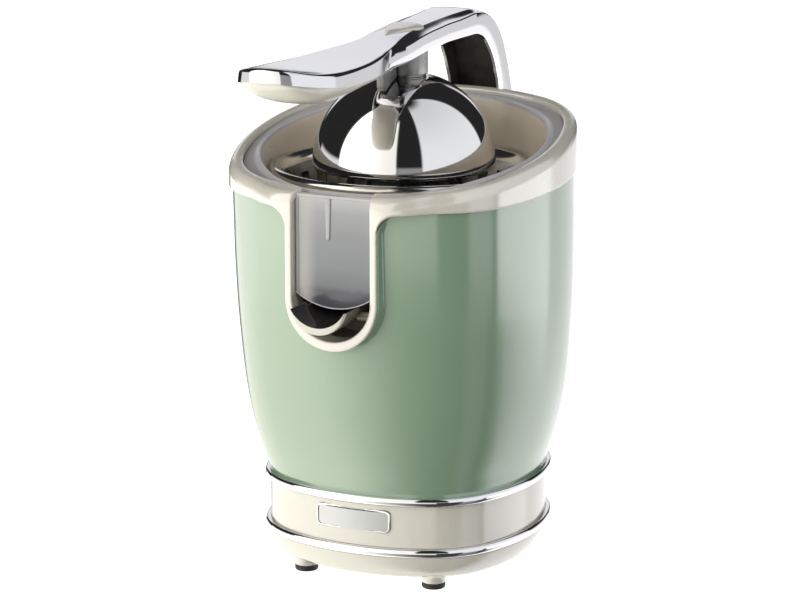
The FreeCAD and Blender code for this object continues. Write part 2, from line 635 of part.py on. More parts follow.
def hull(s, r1, y1, r2, y2):
    """Two circles on the Y axis joined by their outer tangents."""
    a = math.asin((num(r1) - num(r2)) / (num(y2) - num(y1)))
    c, n = math.cos(a), math.sin(a)
    p1, p2 = V(num(r1) * c, num(y1) + num(r1) * n, 0), V(num(r2) * c, num(y2) + num(r2) * n, 0)
    q1, q2 = V(-p1.x, p1.y, 0), V(-p2.x, p2.y, 0)
    g = s.addGeometry([
        Part.LineSegment(p1, p2),
        Part.ArcOfCircle(Part.Circle(V(0, num(y2), 0), V(0, 0, 1), num(r2)), a, math.pi - a),
        Part.LineSegment(q2, q1),
        Part.ArcOfCircle(Part.Circle(V(0, num(y1), 0), V(0, 0, 1), num(r1)), math.pi - a, 2 * math.pi + a),
    ], False)[0]
    s.addConstraint([C("Tangent", g, 2, g + 1, 1), C("Tangent", g + 1, 2, g + 2, 1), C("Tangent", g + 2, 2, g + 3, 1), C("Tangent", g + 3, 2, g, 1)])
    for gg, r in ((g + 1, r2), (g + 3, r1)):
        k = s.addConstraint(C("Radius", gg, num(r)))
        if isinstance(r, Size):
            s.setExpression("Constraints[%d]" % k, r.text)
    pin(s, g + 1, 3, 0, y2)
    if abs(num(y1)) < 1e-9:
        s.addConstraint(C("Coincident", g + 3, 3, -1, 1))
    else:
        pin(s, g + 3, 3, 0, y1)
    return s


b = body("gearbox_housing")
s = hull(sketch(b, "XY", plate_top), 44.0, 0, 37.0, idler_y)
hull(s, 41.4, 0, 34.4, idler_y)
pad(b, s, cover_z - plate_top)
ears = [(46.5, 0), (-46.5, 0), (0, -46.5), (0, 84.5)]
s = sketch(b, "XY", plate_top)
for x, y in ears:
    circle(s, x, y, 3.5)
pad(b, s, cover_z - plate_top)
s = sketch(b, "XY", cover_z)
for x, y in ears:
    circle(s, x, y, 1.27)
cut(b, s, 9.0)
finish("gearbox_housing", b)

b = body("gearbox_cover")
s = hull(sketch(b, "XY", cover_z), 44.0, 0, 37.0, idler_y)
circle(s, 0, 0, 7.0)
circle(s, 0, idler_y, 5.0)
pad(b, s, cover_top - cover_z)
s = circle(sketch(b, "XY", cover_z - 2.0), 0, idler_y, 8.0)
circle(s, 0, idler_y, 5.0)
pad(b, s, 2.05)
s = sketch(b, "XY", cover_z)
for x, y in ears:
    circle(s, x, y, 3.5)
pad(b, s, cover_top - cover_z)
s = sketch(b, "XY", cover_top)
for x, y in ears:
    circle(s, x, y, 1.6)
doc.recompute()
hole = b.newObject("PartDesign::Hole", "gearbox_cover_screw_holes")
hole.Profile = s
hole.Threaded = False
hole.DepthType = 0
hole.Diameter = 3.2
hole.Depth = 6.0
hole.HoleCutType = "Countersink"
hole.HoleCutCustomValues = True
hole.HoleCutDiameter = 6.2
hole.HoleCutCountersinkAngle = 90.0
doc.recompute()
finish("gearbox_cover", b)
screw = body("gearbox_screw")
turn(screw, [(0, -9.0), (1.25, -9.0), (1.25, -2.5), (1.5, -2.35), (1.5, -1.6), (3.0, -0.08), (0.9, -0.08), (0.9, -0.9), (0, -0.9)])
doc.recompute()
group("gearbox_screws", screw, [(x, y, cover_top) for x, y in ears])


def gap_points(m, z, extra=0.6, slack=0.22):
    """Space between two teeth, symmetric about the X axis: involute flanks at 25 degrees, short teeth."""
    al = math.radians(25.0)
    rp = m * z / 2.0
    rb = rp * math.cos(al)
    ra, rf = rp + 0.8 * m, rp - 1.12 * m
    inv = lambda t: math.tan(t) - t
    half = []
    r0 = max(rb, rf)
    for k in range(6):
        r = r0 + (ra + extra - r0) * k / 5.0
        psi = math.pi / (2 * z) + inv(al) - inv(math.acos(min(1.0, rb / r))) - slack / (4.0 * rp)
        half.append((r, math.pi / z - psi))
    if rf < rb - 1e-6:
        half.insert(0, (rf, half[0][1]))
    up = [(r * math.cos(a), r * math.sin(a)) for r, a in half]
    return [(x, -y) for x, y in reversed(up)] + up


def gear(label, m, z, bore, z0, high, start, x=0, y=0, web=None):
    b = body(label)
    ra = m * z / 2.0 + 0.8 * m
    s = circle(sketch(b, "XY", z0), 0, 0, ra)
    circle(s, 0, 0, bore)
    pad(b, s, high)
    if web:
        for top in (True, False):
            s = circle(sketch(b, "XY", z0 + high if top else z0), 0, 0, web[0])
            circle(s, 0, 0, web[1])
            cut(b, s, web[2], Reversed=not top)
    pts = gap_points(m, z)
    a = math.radians(start)
    s = poly(sketch(b, "XY", z0 + high), [(px * math.cos(a) - py * math.sin(a), px * math.sin(a) + py * math.cos(a)) for px, py in pts])
    g = cut(b, s, high)
    polar(b, g, z)
    return finish(label, b, x, y)


gear("motor_pinion", 1.25, 12, 3.0, plate_top + 1.5, Size(10.0, "10"), 15.0, 0, motor_y)
gear("intermediate_wheel", 1.25, 48, 3.0, plate_top + 2.5, Size(8.0, "8"), 0.0, 0, idler_y, web=(25.0, 11.0, 2.4))
gear("intermediate_pinion", 1.5, 12, 3.0, plate_top + 10.7, Size(15.4, "15.4"), 15.0, 0, idler_y)
gear("output_gear", 1.5, 48, spindle_rad, plate_top + 15.5, Size(10.0, "10"), 0.0, web=(31.0, 13.0, 3.0))

ring("intermediate_shaft", 0, 3.0, plate_top - 2.3, cover_top - 0.3, 0, idler_y)
bush = Part.makeCompound([
    Part.makeCylinder(5.0, 4.6, V(0, 0, num(plate_z))).cut(Part.makeCylinder(3.0 + num(run), 6.0, V(0, 0, num(plate_z) - 1))),
    Part.makeCylinder(5.0, 4.5, V(0, 0, num(cover_top) - 4.5)).cut(Part.makeCylinder(3.0 + num(run), 6.0, V(0, 0, num(cover_top) - 5))),
])
free("intermediate_bushes", bush, 0, idler_y)

# motor under the plate
b = body("motor_can")
turn(b, [(5.0, 60.0), (37.0, 60.0), (37.0, 117.0), (35.0, 117.0), (35.0, 62.0), (9.0, 62.0), (9.0, 67.0), (5.0, 67.0)])
vent = cut(b, rounded(sketch(b, "XZ", -50.0), 0, 110.0, 14.0, 5.0, 2.2), 30.0)
polar(b, vent, 4)
finish("motor_can", b, 0, motor_y)
b = body("motor_end_cap")
turn(b, [(5.0, 112.0), (9.0, 112.0), (9.0, 117.0), (37.0, 117.0), (37.0, plate_z), (5.0, plate_z)])
finish("motor_end_cap", b, 0, motor_y)
b = body("motor_magnets")
sector = []
for k in (0, 180):
    a0, a1 = math.radians(k + 20), math.radians(k + 160)
    ro, ri = 34.9, 28.6
    w = Part.Wire([
        Part.Arc(V(ro * math.cos(a0), ro * math.sin(a0), 68), V(0, ro if k == 0 else -ro, 68), V(ro * math.cos(a1), ro * math.sin(a1), 68)).toShape(),
        Part.makeLine(V(ro * math.cos(a1), ro * math.sin(a1), 68), V(ri * math.cos(a1), ri * math.sin(a1), 68)),
        Part.Arc(V(ri * math.cos(a1), ri * math.sin(a1), 68), V(0, ri if k == 0 else -ri, 68), V(ri * math.cos(a0), ri * math.sin(a0), 68)).toShape(),
        Part.makeLine(V(ri * math.cos(a0), ri * math.sin(a0), 68), V(ro * math.cos(a0), ro * math.sin(a0), 68)),
    ])
    sector.append(Part.Face(w).extrude(V(0, 0, 38)))
doc.removeObject(b.Name)
free("motor_magnets", Part.makeCompound(sector), 0, motor_y)
free("motor_bushes", Part.makeCompound([
    Part.makeCylinder(5.0, 7.0, V(0, 0, 60)).cut(Part.makeCylinder(3.0 + num(run), 9.0, V(0, 0, 59))),
    Part.makeCylinder(5.0, 8.0, V(0, 0, 112)).cut(Part.makeCylinder(3.0 + num(run), 10.0, V(0, 0, 111))),
]), 0, motor_y)
ring("motor_shaft", 0, 3.0, 58.0, plate_top + 11.5, 0, motor_y)
b = body("rotor_core")
s = circle(sketch(b, "XY", 70.0), 0, 0, 27.0)
circle(s, 0, 0, 3.0)
pad(b, s, 34.0)
gap = cut(b, rounded(sketch(b, "XY", 104.0), 22.0, 0, 12.0, 4.0, 1.9), 34.0)
polar(b, gap, 9)
finish("rotor_core", b, 0, motor_y)
b = body("commutator")
s = circle(sketch(b, "XY", 104.0), 0, 0, 9.0)
circle(s, 0, 0, 3.0)
pad(b, s, 6.5)
finish("commutator", b, 0, motor_y)
free("carbon_brushes", Part.makeCompound([box(9.3, 21.0, -2.5, 2.5, 105.0, 110.0), box(-21.0, -9.3, -2.5, 2.5, 105.0, 110.0)]), 0, motor_y)
holder = box(11.0, 23.0, -4.0, 4.0, 104.2, 117.0).cut(box(10.0, 21.2, -2.6, 2.6, 104.9, 110.1))
mirror = box(-23.0, -11.0, -4.0, 4.0, 104.2, 117.0).cut(box(-21.2, -10.0, -2.6, 2.6, 104.9, 110.1))
free("brush_holders", Part.makeCompound([holder, mirror]), 0, motor_y)
mscrew = body("motor_screw")
turn(mscrew, [(0, -6.0), (1.6, -6.0), (1.6, 0), (3.0, 0), (3.0, 2.0), (0, 2.0)])
s = circle(circle(sketch(nodes["motor_end_cap"], "XY", plate_z), -27.0, 0, 1.6), 27.0, 0, 1.6)
cut(nodes["motor_end_cap"], s, 4.0)
group("motor_screws", mscrew, [(x, motor_y, plate_top) for x in (-27.0, 27.0)])

# spindle and its press-to-start carriage
b = body("spindle")
turn(b, [(0, plate_top + 15.0), (spindle_rad, plate_top + 15.0), (spindle_rad, 161.4), (6.5, 161.4), (6.5, 163.4), (spindle_rad, 163.4), (spindle_rad, 237.5), (spindle_rad - 0.5, 238.0), (0, 238.0)])
finish("spindle", b)
free("spindle_bushes", Part.makeCompound([
    Part.makeCylinder(7.0, num(cover_top) - num(cover_z) + 0.5, V(0, 0, num(cover_z) - 0.5)).cut(Part.makeCylinder(num(spindle_rad + run), 20.0, V(0, 0, 140.0))),
    Part.makeCylinder(7.0, 177.0 - num(deck_z), V(0, 0, num(deck_z))).cut(Part.makeCylinder(num(spindle_rad + run), 30.0, V(0, 0, 155.0))),
]))
ring("shaft_seal", spindle_rad + 0.1, 9.5, 177.0, 179.5)
b = body("thrust_sleeve")
s = circle(sketch(b, "XY", 159.2), 0, 0, 12.0)
circle(s, 0, 0, 4.3)
pad(b, s, 2.0)
pad(b, rounded(sketch(b, "XY", 159.2), -12.5, 0, 6.0, 8.0, 1.0), 3.0)
pad(b, rounded(sketch(b, "XY", 160.6), -20.0, 0, 14.0, 8.0, 1.0), 1.6)
finish("thrust_sleeve", b)
rounds = []
for k in range(49):
    t = 2 * math.pi * k / 24
    rounds.append(Part.Wire([Part.makeCircle(0.5, V(9.0 * math.cos(t), 9.0 * math.sin(t), 2.1 * k / 24), V(-math.sin(t), math.cos(t), 0.037))]))
spring = Part.makeLoft(rounds, True, True)
free("return_spring", spring, 0, 0, 154.2)
switch = box(-30.0, -18.0, -4.0, 4.0, cover_top, 156.8).cut(cylinder(1.35, (-24.0, 0, 150), (0, 0, 1), 10))
free("microswitch", switch)
ring("switch_plunger", 0, 1.2, 156.6, 160.4, -24.0, 0)

b = body("deck")
s = squircle(sketch(b, "XY", deck_z), 90.0, 3.0)
circle(s, 0, 0, 7.0)
for x, y in corners:
    circle(s, x, y, 2.2)
pad(b, s, deck_top - deck_z)
s = circle(sketch(b, "XY", deck_top - 0.1), 0, 0, 11.0)
circle(s, 0, 0, 7.0)
pad(b, s, 10.1)
cut(b, poly(sketch(b, "XY", deck_top + 1.0), [(-26.0, -57.5), (-26.0, -110.0), (26.0, -110.0), (26.0, -57.5)]), 6.0)
finish("deck", b)

# ---------------------------------------------------------------- reamer
b = body("reamer_cone")
turn(b, [(0, 238.2), (spindle_rad + 0.08, 238.2), (spindle_rad + 0.08, cone_z), (8.0, cone_z), (8.0, 240.0), (16.5, 240.0), (23.8, 227.0), (27.8, 215.0),
         (31.8, 207.5), (37.5, 204.7), (37.5, cone_z), (cone_rad, cone_z), (cone_rad, cone_z + 2.5), (34.0, 209.0), (30.0, 216.0), (26.0, 228.0), (20.0, 242.0), (12.0, 254.0), (4.0, 261.0), (0, 262.3)])
rib = sketch(b, "XZ")
poly(rib, [(3.0, 259.4), (3.5, 262.6), (13.3, 256.4), (22.0, 243.6), (28.2, 229.0), (32.2, 216.8), (35.8, 210.2), (39.3, 206.6), (39.3, 204.6), (33.0, 208.2), (29.0, 215.4), (25.0, 227.4), (18.6, 241.2), (10.0, 252.5)])
r = pad(b, rib, 2.6, Midplane=True)
polar(b, r, 10)
finish("reamer_cone", b)

# ---------------------------------------------------------------- spout
def spout_section(y0, y1, top):
    zo, ro, zi, ri = 169.6, 16.0, 175.3, 17.7
    xo = math.sqrt(ro * ro - (top - zo) ** 2) if abs(top - zo) < ro else ro
    xi = math.sqrt(ri * ri - (top - zi) ** 2)
    w = Part.Wire([
        Part.Arc(V(-xo, y0, top), V(0, y0, zo - ro), V(xo, y0, top)).toShape(),
        Part.makeLine(V(xo, y0, top), V(xi, y0, top)),
        Part.Arc(V(xi, y0, top), V(0, y0, zi - ri), V(-xi, y0, top)).toShape(),
        Part.makeLine(V(-xi, y0, top), V(-xo, y0, top)),
    ])
    return Part.Face(w).extrude(V(0, y1 - y0, 0))


spout = spout_section(-110.0, -91.0, 166.6).fuse(spout_section(-91.1, -64.0, 164.8))
full = cylinder(16.0, (0, -66.0, 169.6), (0, 1, 0), 2.0).common(box(-30, 30, -70, -60, 140, 164.8))
spout = spout.fuse(full)
for sx in (-1, 1):
    spout = spout.fuse(cylinder(2.5, (12.6 * sx, -87.5, 161.0), (sx, 0, 0), 10.4).cut(cylinder(17.7, (0, -120, 175.3), (0, 1, 0), 80)))
free("spout", spout.removeSplitter())

# ---------------------------------------------------------------- rear hinge bracket and pin
b = body("hinge_bracket")
ear = []
for k in range(-30, 181, 15):
    ear.append((pivot_y + ear_rad * round(math.cos(math.radians(k)), 5), pivot_z + ear_rad * round(math.sin(math.radians(k)), 5)))
outline = [(88.0, 187.0), (97.0, 190.0), (112.0, 207.0)] + ear + [(pivot_y - ear_rad, 224.4), (88.0, 224.4)]
pad(b, poly(sketch(b, "YZ"), outline), ear_out * 2, Midplane=True)
cut(b, poly(sketch(b, "YZ"), [(96.2, 180.0), (130.0, 180.0), (130.0, 250.0), (94.0, 250.0), (94.0, 225.0), (96.2, 225.0)]), ear_in * 2, Midplane=True)
cut(b, circle(sketch(b, "YZ"), pivot_y, pivot_z, pivot_rad + 0.02), 60.0, Midplane=True)
cut(b, circle(circle(sketch(b, "XZ", 80.0), -11.0, 200.0, 2.0), 11.0, 200.0, 2.0), 40.0)
doc.recompute()
tool = doc.addObject("Part::Feature", "drum_tool")
tool.Shape = drum(0.05)
bracket = doc.addObject("Part::Cut", "hinge_bracket_cut")
bracket.Base = b
bracket.Tool = tool
finish("hinge_bracket", bracket)
b.Label = "hinge_bracket_blank"
free("hinge_pin", cylinder(pivot_rad, (-27.5, pivot_y, pivot_z), (1, 0, 0), 55.0).cut(
    Part.makeCompound([cylinder(4, (sx * 25.0 - 0.5, num(pivot_y), num(pivot_z)), (1, 0, 0), 1.0).cut(cylinder(2.4, (sx * 25.0 - 1, num(pivot_y), num(pivot_z)), (1, 0, 0), 3.0)) for sx in (-1, 1)])))
free("pin_clips", Part.makeCompound([
    cylinder(5.0, (sx * 25.0 - 0.45, num(pivot_y), num(pivot_z)), (1, 0, 0), 0.9).cut(cylinder(2.45, (sx * 25.0 - 1, num(pivot_y), num(pivot_z)), (1, 0, 0), 3.0)).cut(
        box(sx * 25.0 - 2, sx * 25.0 + 2, num(pivot_y) - 1.6, num(pivot_y) + 1.6, num(pivot_z) - 8, num(pivot_z)))
    for sx in (-1, 1)]))
free("bracket_screws", Part.makeCompound([
    cylinder(1.95, (x, 82.0, 200.0), (0, 1, 0), 14.6).fuse(cylinder(3.6, (x, 96.25, 200.0), (0, 1, 0), 2.2)) for x in (-11.0, 11.0)]))

# ---------------------------------------------------------------- cable inlet, terminal block
gland = cylinder(5.95, (0, 77.0, 40.0), (0, 1, 0), 6.0).fuse(cylinder(8.6, (0, 82.1, 40.0), (0, 1, 0), 1.8)).fuse(
    cylinder(8.0, (0, 77.0, 40.0), (0, 1, 0), 2.0))
gland = gland.cut(cylinder(3.3, (0, 70.0, 40.0), (0, 1, 0), 20.0))
free("cord_gland", gland.removeSplitter())
block = box(-14.0, 14.0, 46.0, 58.0, dish_z + 2.5, dish_z + 14.0)
for x in (-9.0, 0.0, 9.0):
    block = block.cut(cylinder(2.4, (x, 52.0, num(dish_z) + 8.0), (0, 0, 1), 10.0))
free("terminal_block", block)

# ---------------------------------------------------------------- arm
TOP = ((-168.6, 302.4), (-155.0, 299.4), (-135.0, 297.7), (-115.0, 297.1), (-90.0, 296.8), (-65.0, 297.8), (-40.0, 298.8), (-15.0, 301.7), (20.0, 303.6), (60.0, 305.3))
LOW = ((-168.6, 295.6), (-155.0, 293.0), (-135.0, 290.1), (-115.0, 288.5), (-90.0, 287.9), (-65.0, 287.5), (-40.0, 287.2), (-15.0, 289.6), (-1.0, 291.0), (12.0, 291.4), (26.0, 292.1), (60.0, 291.7))
EDGE = ((-60.0, 297.6), (-45.0, 297.6), (-27.0, 298.2), (-14.0, 299.4), (-1.0, 300.5), (12.0, 301.3), (26.0, 302.0), (39.0, 302.2), (60.0, 303.2))


def plan(y):
    """Half width of the arm's top surface."""
    if y < -127.5:
        return 25.4 * max(0.0, 1 - ((-127.5 - y) / 41.1) ** 2.4) ** (1 / 2.4)
    return between(y, ((-127.5, 25.4), (-115.0, 24.9), (-95.0, 22.9), (-70.0, 19.4), (-50.0, 15.2), (-30.0, 11.6), (0.0, 8.6), (12.0, 9.0), (40.0, 9.5), (60.0, 10.6)))


b = body("arm")
stations = [-168.55, -167.6, -165.5, -161.5, -155.0, -145.0, -132.0, -115.0, -95.0, -75.0, -58.0, -46.0, -36.0, -26.0, -15.0, -1.0, 12.0, 26.0, 45.0, 60.0]
secs = []
for y in stations:
    w = plan(y)
    side = w if y < -56 else max(w, min(16.0, w + (y + 58.0) * 0.35)) if y < -40 else 16.0
    if y >= -40:
        side = 16.0
    zt, zl = between(y, TOP), between(y, LOW)
    ze = zt - 0.9 if y < -56 else between(y, EDGE)
    crown = 0.35
    secs.append(poly(sketch(b, "XZ", float(y)), [(-side, zl), (side, zl), (side, ze), (w * 0.97, zt), (0.0, zt + crown), (-w * 0.97, zt), (-side, ze)]))
loft = b.newObject("PartDesign::AdditiveLoft", "arm_loft")
loft.Profile = secs[0]
loft.Sections = secs[1:]
loft.Ruled = True
doc.recompute()
leg = [(59.0, 303.2), (70.0, 302.9), (81.8, 299.4), (90.6, 295.4), (96.6, 289.8), (101.0, 284.7), (104.0, 279.7), (107.0, 273.5), (110.4, 266.1), (112.8, 259.3), (115.2, 253.2), (118.2, 245.0)]
for k in range(10, -181, -19):
    leg.append((pivot_y + 12.0 * round(math.cos(math.radians(k)), 5), pivot_z + 12.0 * round(math.sin(math.radians(k)), 5)))
leg += [(97.0, 240.0), (96.4, 250.0), (95.7, 257.5), (92.6, 265.7), (89.6, 271.9), (85.0, 278.3), (80.6, 282.9), (75.0, 287.6), (68.0, 290.5), (60.5, 291.7), (59.0, 291.75)]
pad(b, poly(sketch(b, "YZ"), leg), bar_half * 2, Midplane=True)
s = circle(sketch(b, "XY", 289.5), 0, 0, hub_rad - 0.2)
pad(b, s, 3.0)
channel = [(66.0, 300.6), (80.3, 297.2), (89.0, 293.2), (94.9, 287.9), (99.1, 283.0), (102.1, 278.2), (105.0, 272.4), (108.4, 265.2), (110.8, 258.6), (113.1, 252.6), (114.6, 247.0), (92.0, 247.0), (90.0, 262.0), (84.0, 275.0), (76.0, 284.0), (66.0, 288.5)]
cut(b, poly(sketch(b, "YZ"), channel), bar_half * 2 - 4.0, Midplane=True)
cut(b, circle(sketch(b, "YZ"), pivot_y, pivot_z, pivot_rad + 1.5), 60.0, Midplane=True)
# seat of the release button, and the slot for its hook
cut(b, poly(sketch(b, "XY", 310.0), [(0.0, -25.6), (11.3, 0.8), (11.3, 6.2), (7.6, 7.9), (0.0, 8.6), (-7.6, 7.9), (-11.3, 6.2), (-11.3, 0.8)]), 16.6)
cut(b, poly(sketch(b, "XY", 300.0), [(-3.0, -23.6), (3.0, -23.6), (3.0, -9.2), (-3.0, -9.2)]), 20.0)
cut(b, circle(sketch(b, "XY", 289.0), 0, 0, 3.0), 3.4, Reversed=True)
finish("arm", b)
free("hinge_bushes", Part.makeCompound([
    cylinder(4.5, (x, num(pivot_y), num(pivot_z)), (1, 0, 0), 8.0).cut(cylinder(num(pivot_rad) + num(run), (x - 1, num(pivot_y), num(pivot_z)), (1, 0, 0), 10.0)) for x in (-16.0, 8.0)]))

b = body("grip_underside")
DEEP = ((-166.5, 1.2), (-164.0, 2.4), (-158.0, 4.6), (-150.0, 7.0), (-145.0, 8.3), (-130.0, 9.6), (-110.0, 7.6), (-90.0, 6.0), (-70.0, 5.1), (-50.0, 4.3), (-36.0, 3.2), (-26.0, 1.6))
secs = []
for y in (-166.4, -164.0, -158.0, -148.0, -132.0, -112.0, -90.0, -70.0, -50.0, -38.5):
    w, d, zl = max(1.0, (plan(y) if y < -60 else max(plan(y), 14.0 + (-50 - y) * 0.1)) - 1.2), between(y, DEEP), between(y, LOW)
    pts = [(-w, zl), (w, zl)]
    for k in (15, 35, 60, 90, 120, 145, 165):
        pts.append((w * round(math.copysign(abs(math.cos(math.radians(k))) ** 0.9, math.cos(math.radians(k))), 5), zl - d * round(math.sin(math.radians(k)) ** 0.9, 5)))
    secs.append(poly(sketch(b, "XZ", float(y)), pts))
loft = b.newObject("PartDesign::AdditiveLoft", "grip_loft")
loft.Profile = secs[0]
loft.Sections = secs[1:]
loft.Ruled = True
doc.recompute()
grip = doc.addObject("Part::Cut", "grip_cut")
grip.Base = b
b.Label = "grip_blank"
grip.Tool = doc.getObject("arm")
doc.recompute()
# the blank is trimmed by the arm so that the two meet without crossing
arm_shape = nodes["arm"].Shape.copy()
arm_shape.Placement = FreeCAD.Placement()
doc.removeObject(grip.Name)
g = b.Shape.cut(arm_shape)
g = max(g.Solids, key=lambda q: q.Volume)
free("grip_underside", g)

# hub, dome and its fastening
ball = Part.makeSphere(num(dome_rad), V(0, 0, num(dome_z)))
hub = Part.makeCylinder(num(hub_rad), 16.0, V(0, 0, 273.5)).cut(ball).cut(cylinder(3.05, (0, 0, 265.0), (0, 0, 1), 40.0))
hub = hub.cut(box(-3.0, 3.0, -20.0, -9.2, 260.0, 300.0)).common(Part.makeCylinder(40, 100, V(0, 0, 189.5)))
free("hub", hub)
b = body("dome")
s = sketch(b, "XZ")
ro, ri, zc = num(dome_rad), num(dome_rad) - num(dome_wall), num(dome_z)
a_hole_o, a_hole_i = math.acos(3.05 / ro), math.acos(3.05 / ri)
g = s.addGeometry([
    Part.ArcOfCircle(Part.Circle(V(0, zc, 0), V(0, 0, 1), ro), 0.0, a_hole_o),
    Part.LineSegment(V(3.05, zc + ro * math.sin(a_hole_o), 0), V(3.05, zc + ri * math.sin(a_hole_i), 0)),
    Part.ArcOfCircle(Part.Circle(V(0, zc, 0), V(0, 0, 1), ri), 0.0, a_hole_i),
    Part.LineSegment(V(ri, zc, 0), V(ro, zc, 0)),
], False)[0]
s.addConstraint([C("Coincident", g, 2, g + 1, 1), C("Coincident", g + 1, 2, g + 2, 2), C("Coincident", g + 2, 1, g + 3, 1), C("Coincident", g + 3, 2, g, 1),
                 C("Vertical", g + 1), C("Horizontal", g + 3), C("Coincident", g, 3, g + 2, 3), C("PointOnObject", g, 3, -2), C("PointOnObject", g, 3, g + 3)])
k = s.addConstraint(C("Radius", g, ro))
s.setExpression("Constraints[%d]" % k, dome_rad.text)
k = s.addConstraint(C("Radius", g + 2, ri))
s.setExpression("Constraints[%d]" % k, (dome_rad - dome_wall).text)
k = s.addConstraint(C("DistanceX", -1, 1, g + 1, 1, 3.05))
k = s.addConstraint(C("DistanceY", -1, 1, g, 3, zc))
s.setExpression("Constraints[%d]" % k, dome_z.text)
f = b.newObject("PartDesign::Revolution", "dome_turn")
f.Profile = s
f.ReferenceAxis = (s, ["V_Axis"])
f.Angle = 360.0
pad(b, poly(sketch(b, "YZ"), [(-31.8, 270.3), (-31.8, 266.5), (-28.2, 268.9), (-27.4, 270.3)]), 6.4, Midplane=True)
finish("dome", b)
b = body("dome_stud")
turn(b, [(0, 271.0), (3.0, 271.0), (3.0, 292.2), (0, 292.2)])
finish("dome_stud", b)
b = body("dome_nut")
s = poly(sketch(b, "XY", 272.4), [(6.2 * math.cos(math.radians(60 * k)), 6.2 * math.sin(math.radians(60 * k))) for k in range(6)])
circle(s, 0, 0, 3.02)
pad(b, s, 3.9)
finish("dome_nut", b)

# release button and its hook, which slide back together
b = body("release_button")
pad(b, poly(sketch(b, "XY", 293.9), [(0.0, -24.4), (10.4, 0.6), (10.4, 3.4), (7.2, 5.4), (0.0, 6.4), (-7.2, 5.4), (-10.4, 3.4), (-10.4, 0.6)]), 12.0)
cut(b, poly(sketch(b, "YZ"), [(-40.0, 299.1), (-24.4, 300.9), (-15.0, 301.95), (0.0, 302.9), (12.0, 303.5), (12.0, 315.0), (-40.0, 315.0)]), 60.0, Midplane=True)
finish("release_button", b)
b = body("latch_hook")
pad(b, poly(sketch(b, "YZ"), [(-30.6, 284.6), (-30.6, 273.6), (-29.6, 271.7), (-28.6, 271.1), (-28.2, 271.1), (-26.0, 272.4), (-22.0, 274.4), (-18.0, 276.0), (-14.4, 277.3), (-11.4, 280.2), (-11.4, 293.9), (-21.0, 293.9), (-21.0, 286.4), (-29.2, 286.4)]), 5.0, Midplane=True)
finish("latch_hook", b)

# ---------------------------------------------------------------- test and write
doc.recompute()
for o in doc.Objects:
    if "Invalid" in o.State or "Error" in o.State:
        raise ValueError("failed: %s %s" % (o.Label, o.State))
for label, o in nodes.items():
    if o.Shape.isNull() or not o.Shape.isValid():
        raise ValueError("bad shape: " + label)
os.makedirs("parts", exist_ok=True)
for name in os.listdir("parts"):
    if name.endswith(".step") and name[:-5] not in nodes:
        os.remove(os.path.join("parts", name))
for label, o in nodes.items():
    o.Shape.exportStep("parts/%s.step" % label)
    bb = o.Shape.BoundBox
    print("%-22s solids %d  volume %9.1f  x %7.1f %7.1f  y %7.1f %7.1f  z %6.1f %6.1f" % (
        label, len(o.Shape.Solids), o.Shape.Volume, bb.XMin, bb.XMax, bb.YMin, bb.YMax, bb.ZMin, bb.ZMax))
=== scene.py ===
import bpy, bmesh, json, math
import numpy as np
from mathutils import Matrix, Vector


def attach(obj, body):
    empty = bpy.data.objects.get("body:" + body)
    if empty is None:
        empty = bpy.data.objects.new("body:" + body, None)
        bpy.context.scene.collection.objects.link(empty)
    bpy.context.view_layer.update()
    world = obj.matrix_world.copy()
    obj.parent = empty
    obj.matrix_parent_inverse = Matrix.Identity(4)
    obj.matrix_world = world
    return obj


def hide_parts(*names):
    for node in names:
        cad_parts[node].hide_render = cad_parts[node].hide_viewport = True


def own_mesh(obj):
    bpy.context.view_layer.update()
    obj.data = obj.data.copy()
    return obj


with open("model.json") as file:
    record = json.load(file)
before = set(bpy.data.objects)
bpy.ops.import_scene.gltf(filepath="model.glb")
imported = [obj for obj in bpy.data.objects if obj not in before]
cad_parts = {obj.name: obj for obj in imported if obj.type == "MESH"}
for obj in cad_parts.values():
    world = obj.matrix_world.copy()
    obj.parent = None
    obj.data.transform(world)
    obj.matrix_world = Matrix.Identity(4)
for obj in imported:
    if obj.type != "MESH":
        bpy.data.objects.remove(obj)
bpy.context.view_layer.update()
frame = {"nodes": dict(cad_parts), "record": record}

# Electric citrus juicer.  Shapes are worked out in millimetres about the reamer spindle, from a level 2.3 mm under the
# feet, and put where the construction has them: 22.8 mm further back and 2.3 mm lower.
SY, DZ = 22.8, 2.3
SC = bpy.context.scene
NODES = frame["nodes"]
rng = np.random.default_rng(7)


# ---------------------------------------------------------------- mesh helpers
def mesh_object(name, verts, faces, mats, face_mat=None, angle=35.0, merge=True):
    v = np.asarray(verts, float).copy()
    v[:, 1] += SY
    v[:, 2] -= DZ
    v /= 1000.0
    me = bpy.data.meshes.new(name)
    me.from_pydata(v.tolist(), [], [tuple(f) for f in faces])
    for m in mats:
        me.materials.append(m)
    if face_mat is not None:
        me.polygons.foreach_set("material_index", np.asarray(face_mat, dtype=np.int32))
    if merge:
        bm = bmesh.new()
        bm.from_mesh(me)
        bmesh.ops.remove_doubles(bm, verts=bm.verts, dist=2e-6)
        bmesh.ops.dissolve_degenerate(bm, dist=1e-6, edges=bm.edges)
        loose = [q for q in bm.verts if not q.link_faces]
        bmesh.ops.delete(bm, geom=loose, context="VERTS")
        bmesh.ops.recalc_face_normals(bm, faces=bm.faces)
        bm.to_mesh(me)
        bm.free()
    me.shade_smooth()
    me.set_sharp_from_angle(angle=math.radians(angle))
    ob = bpy.data.objects.new(name, me)
    SC.collection.objects.link(ob)
    return ob


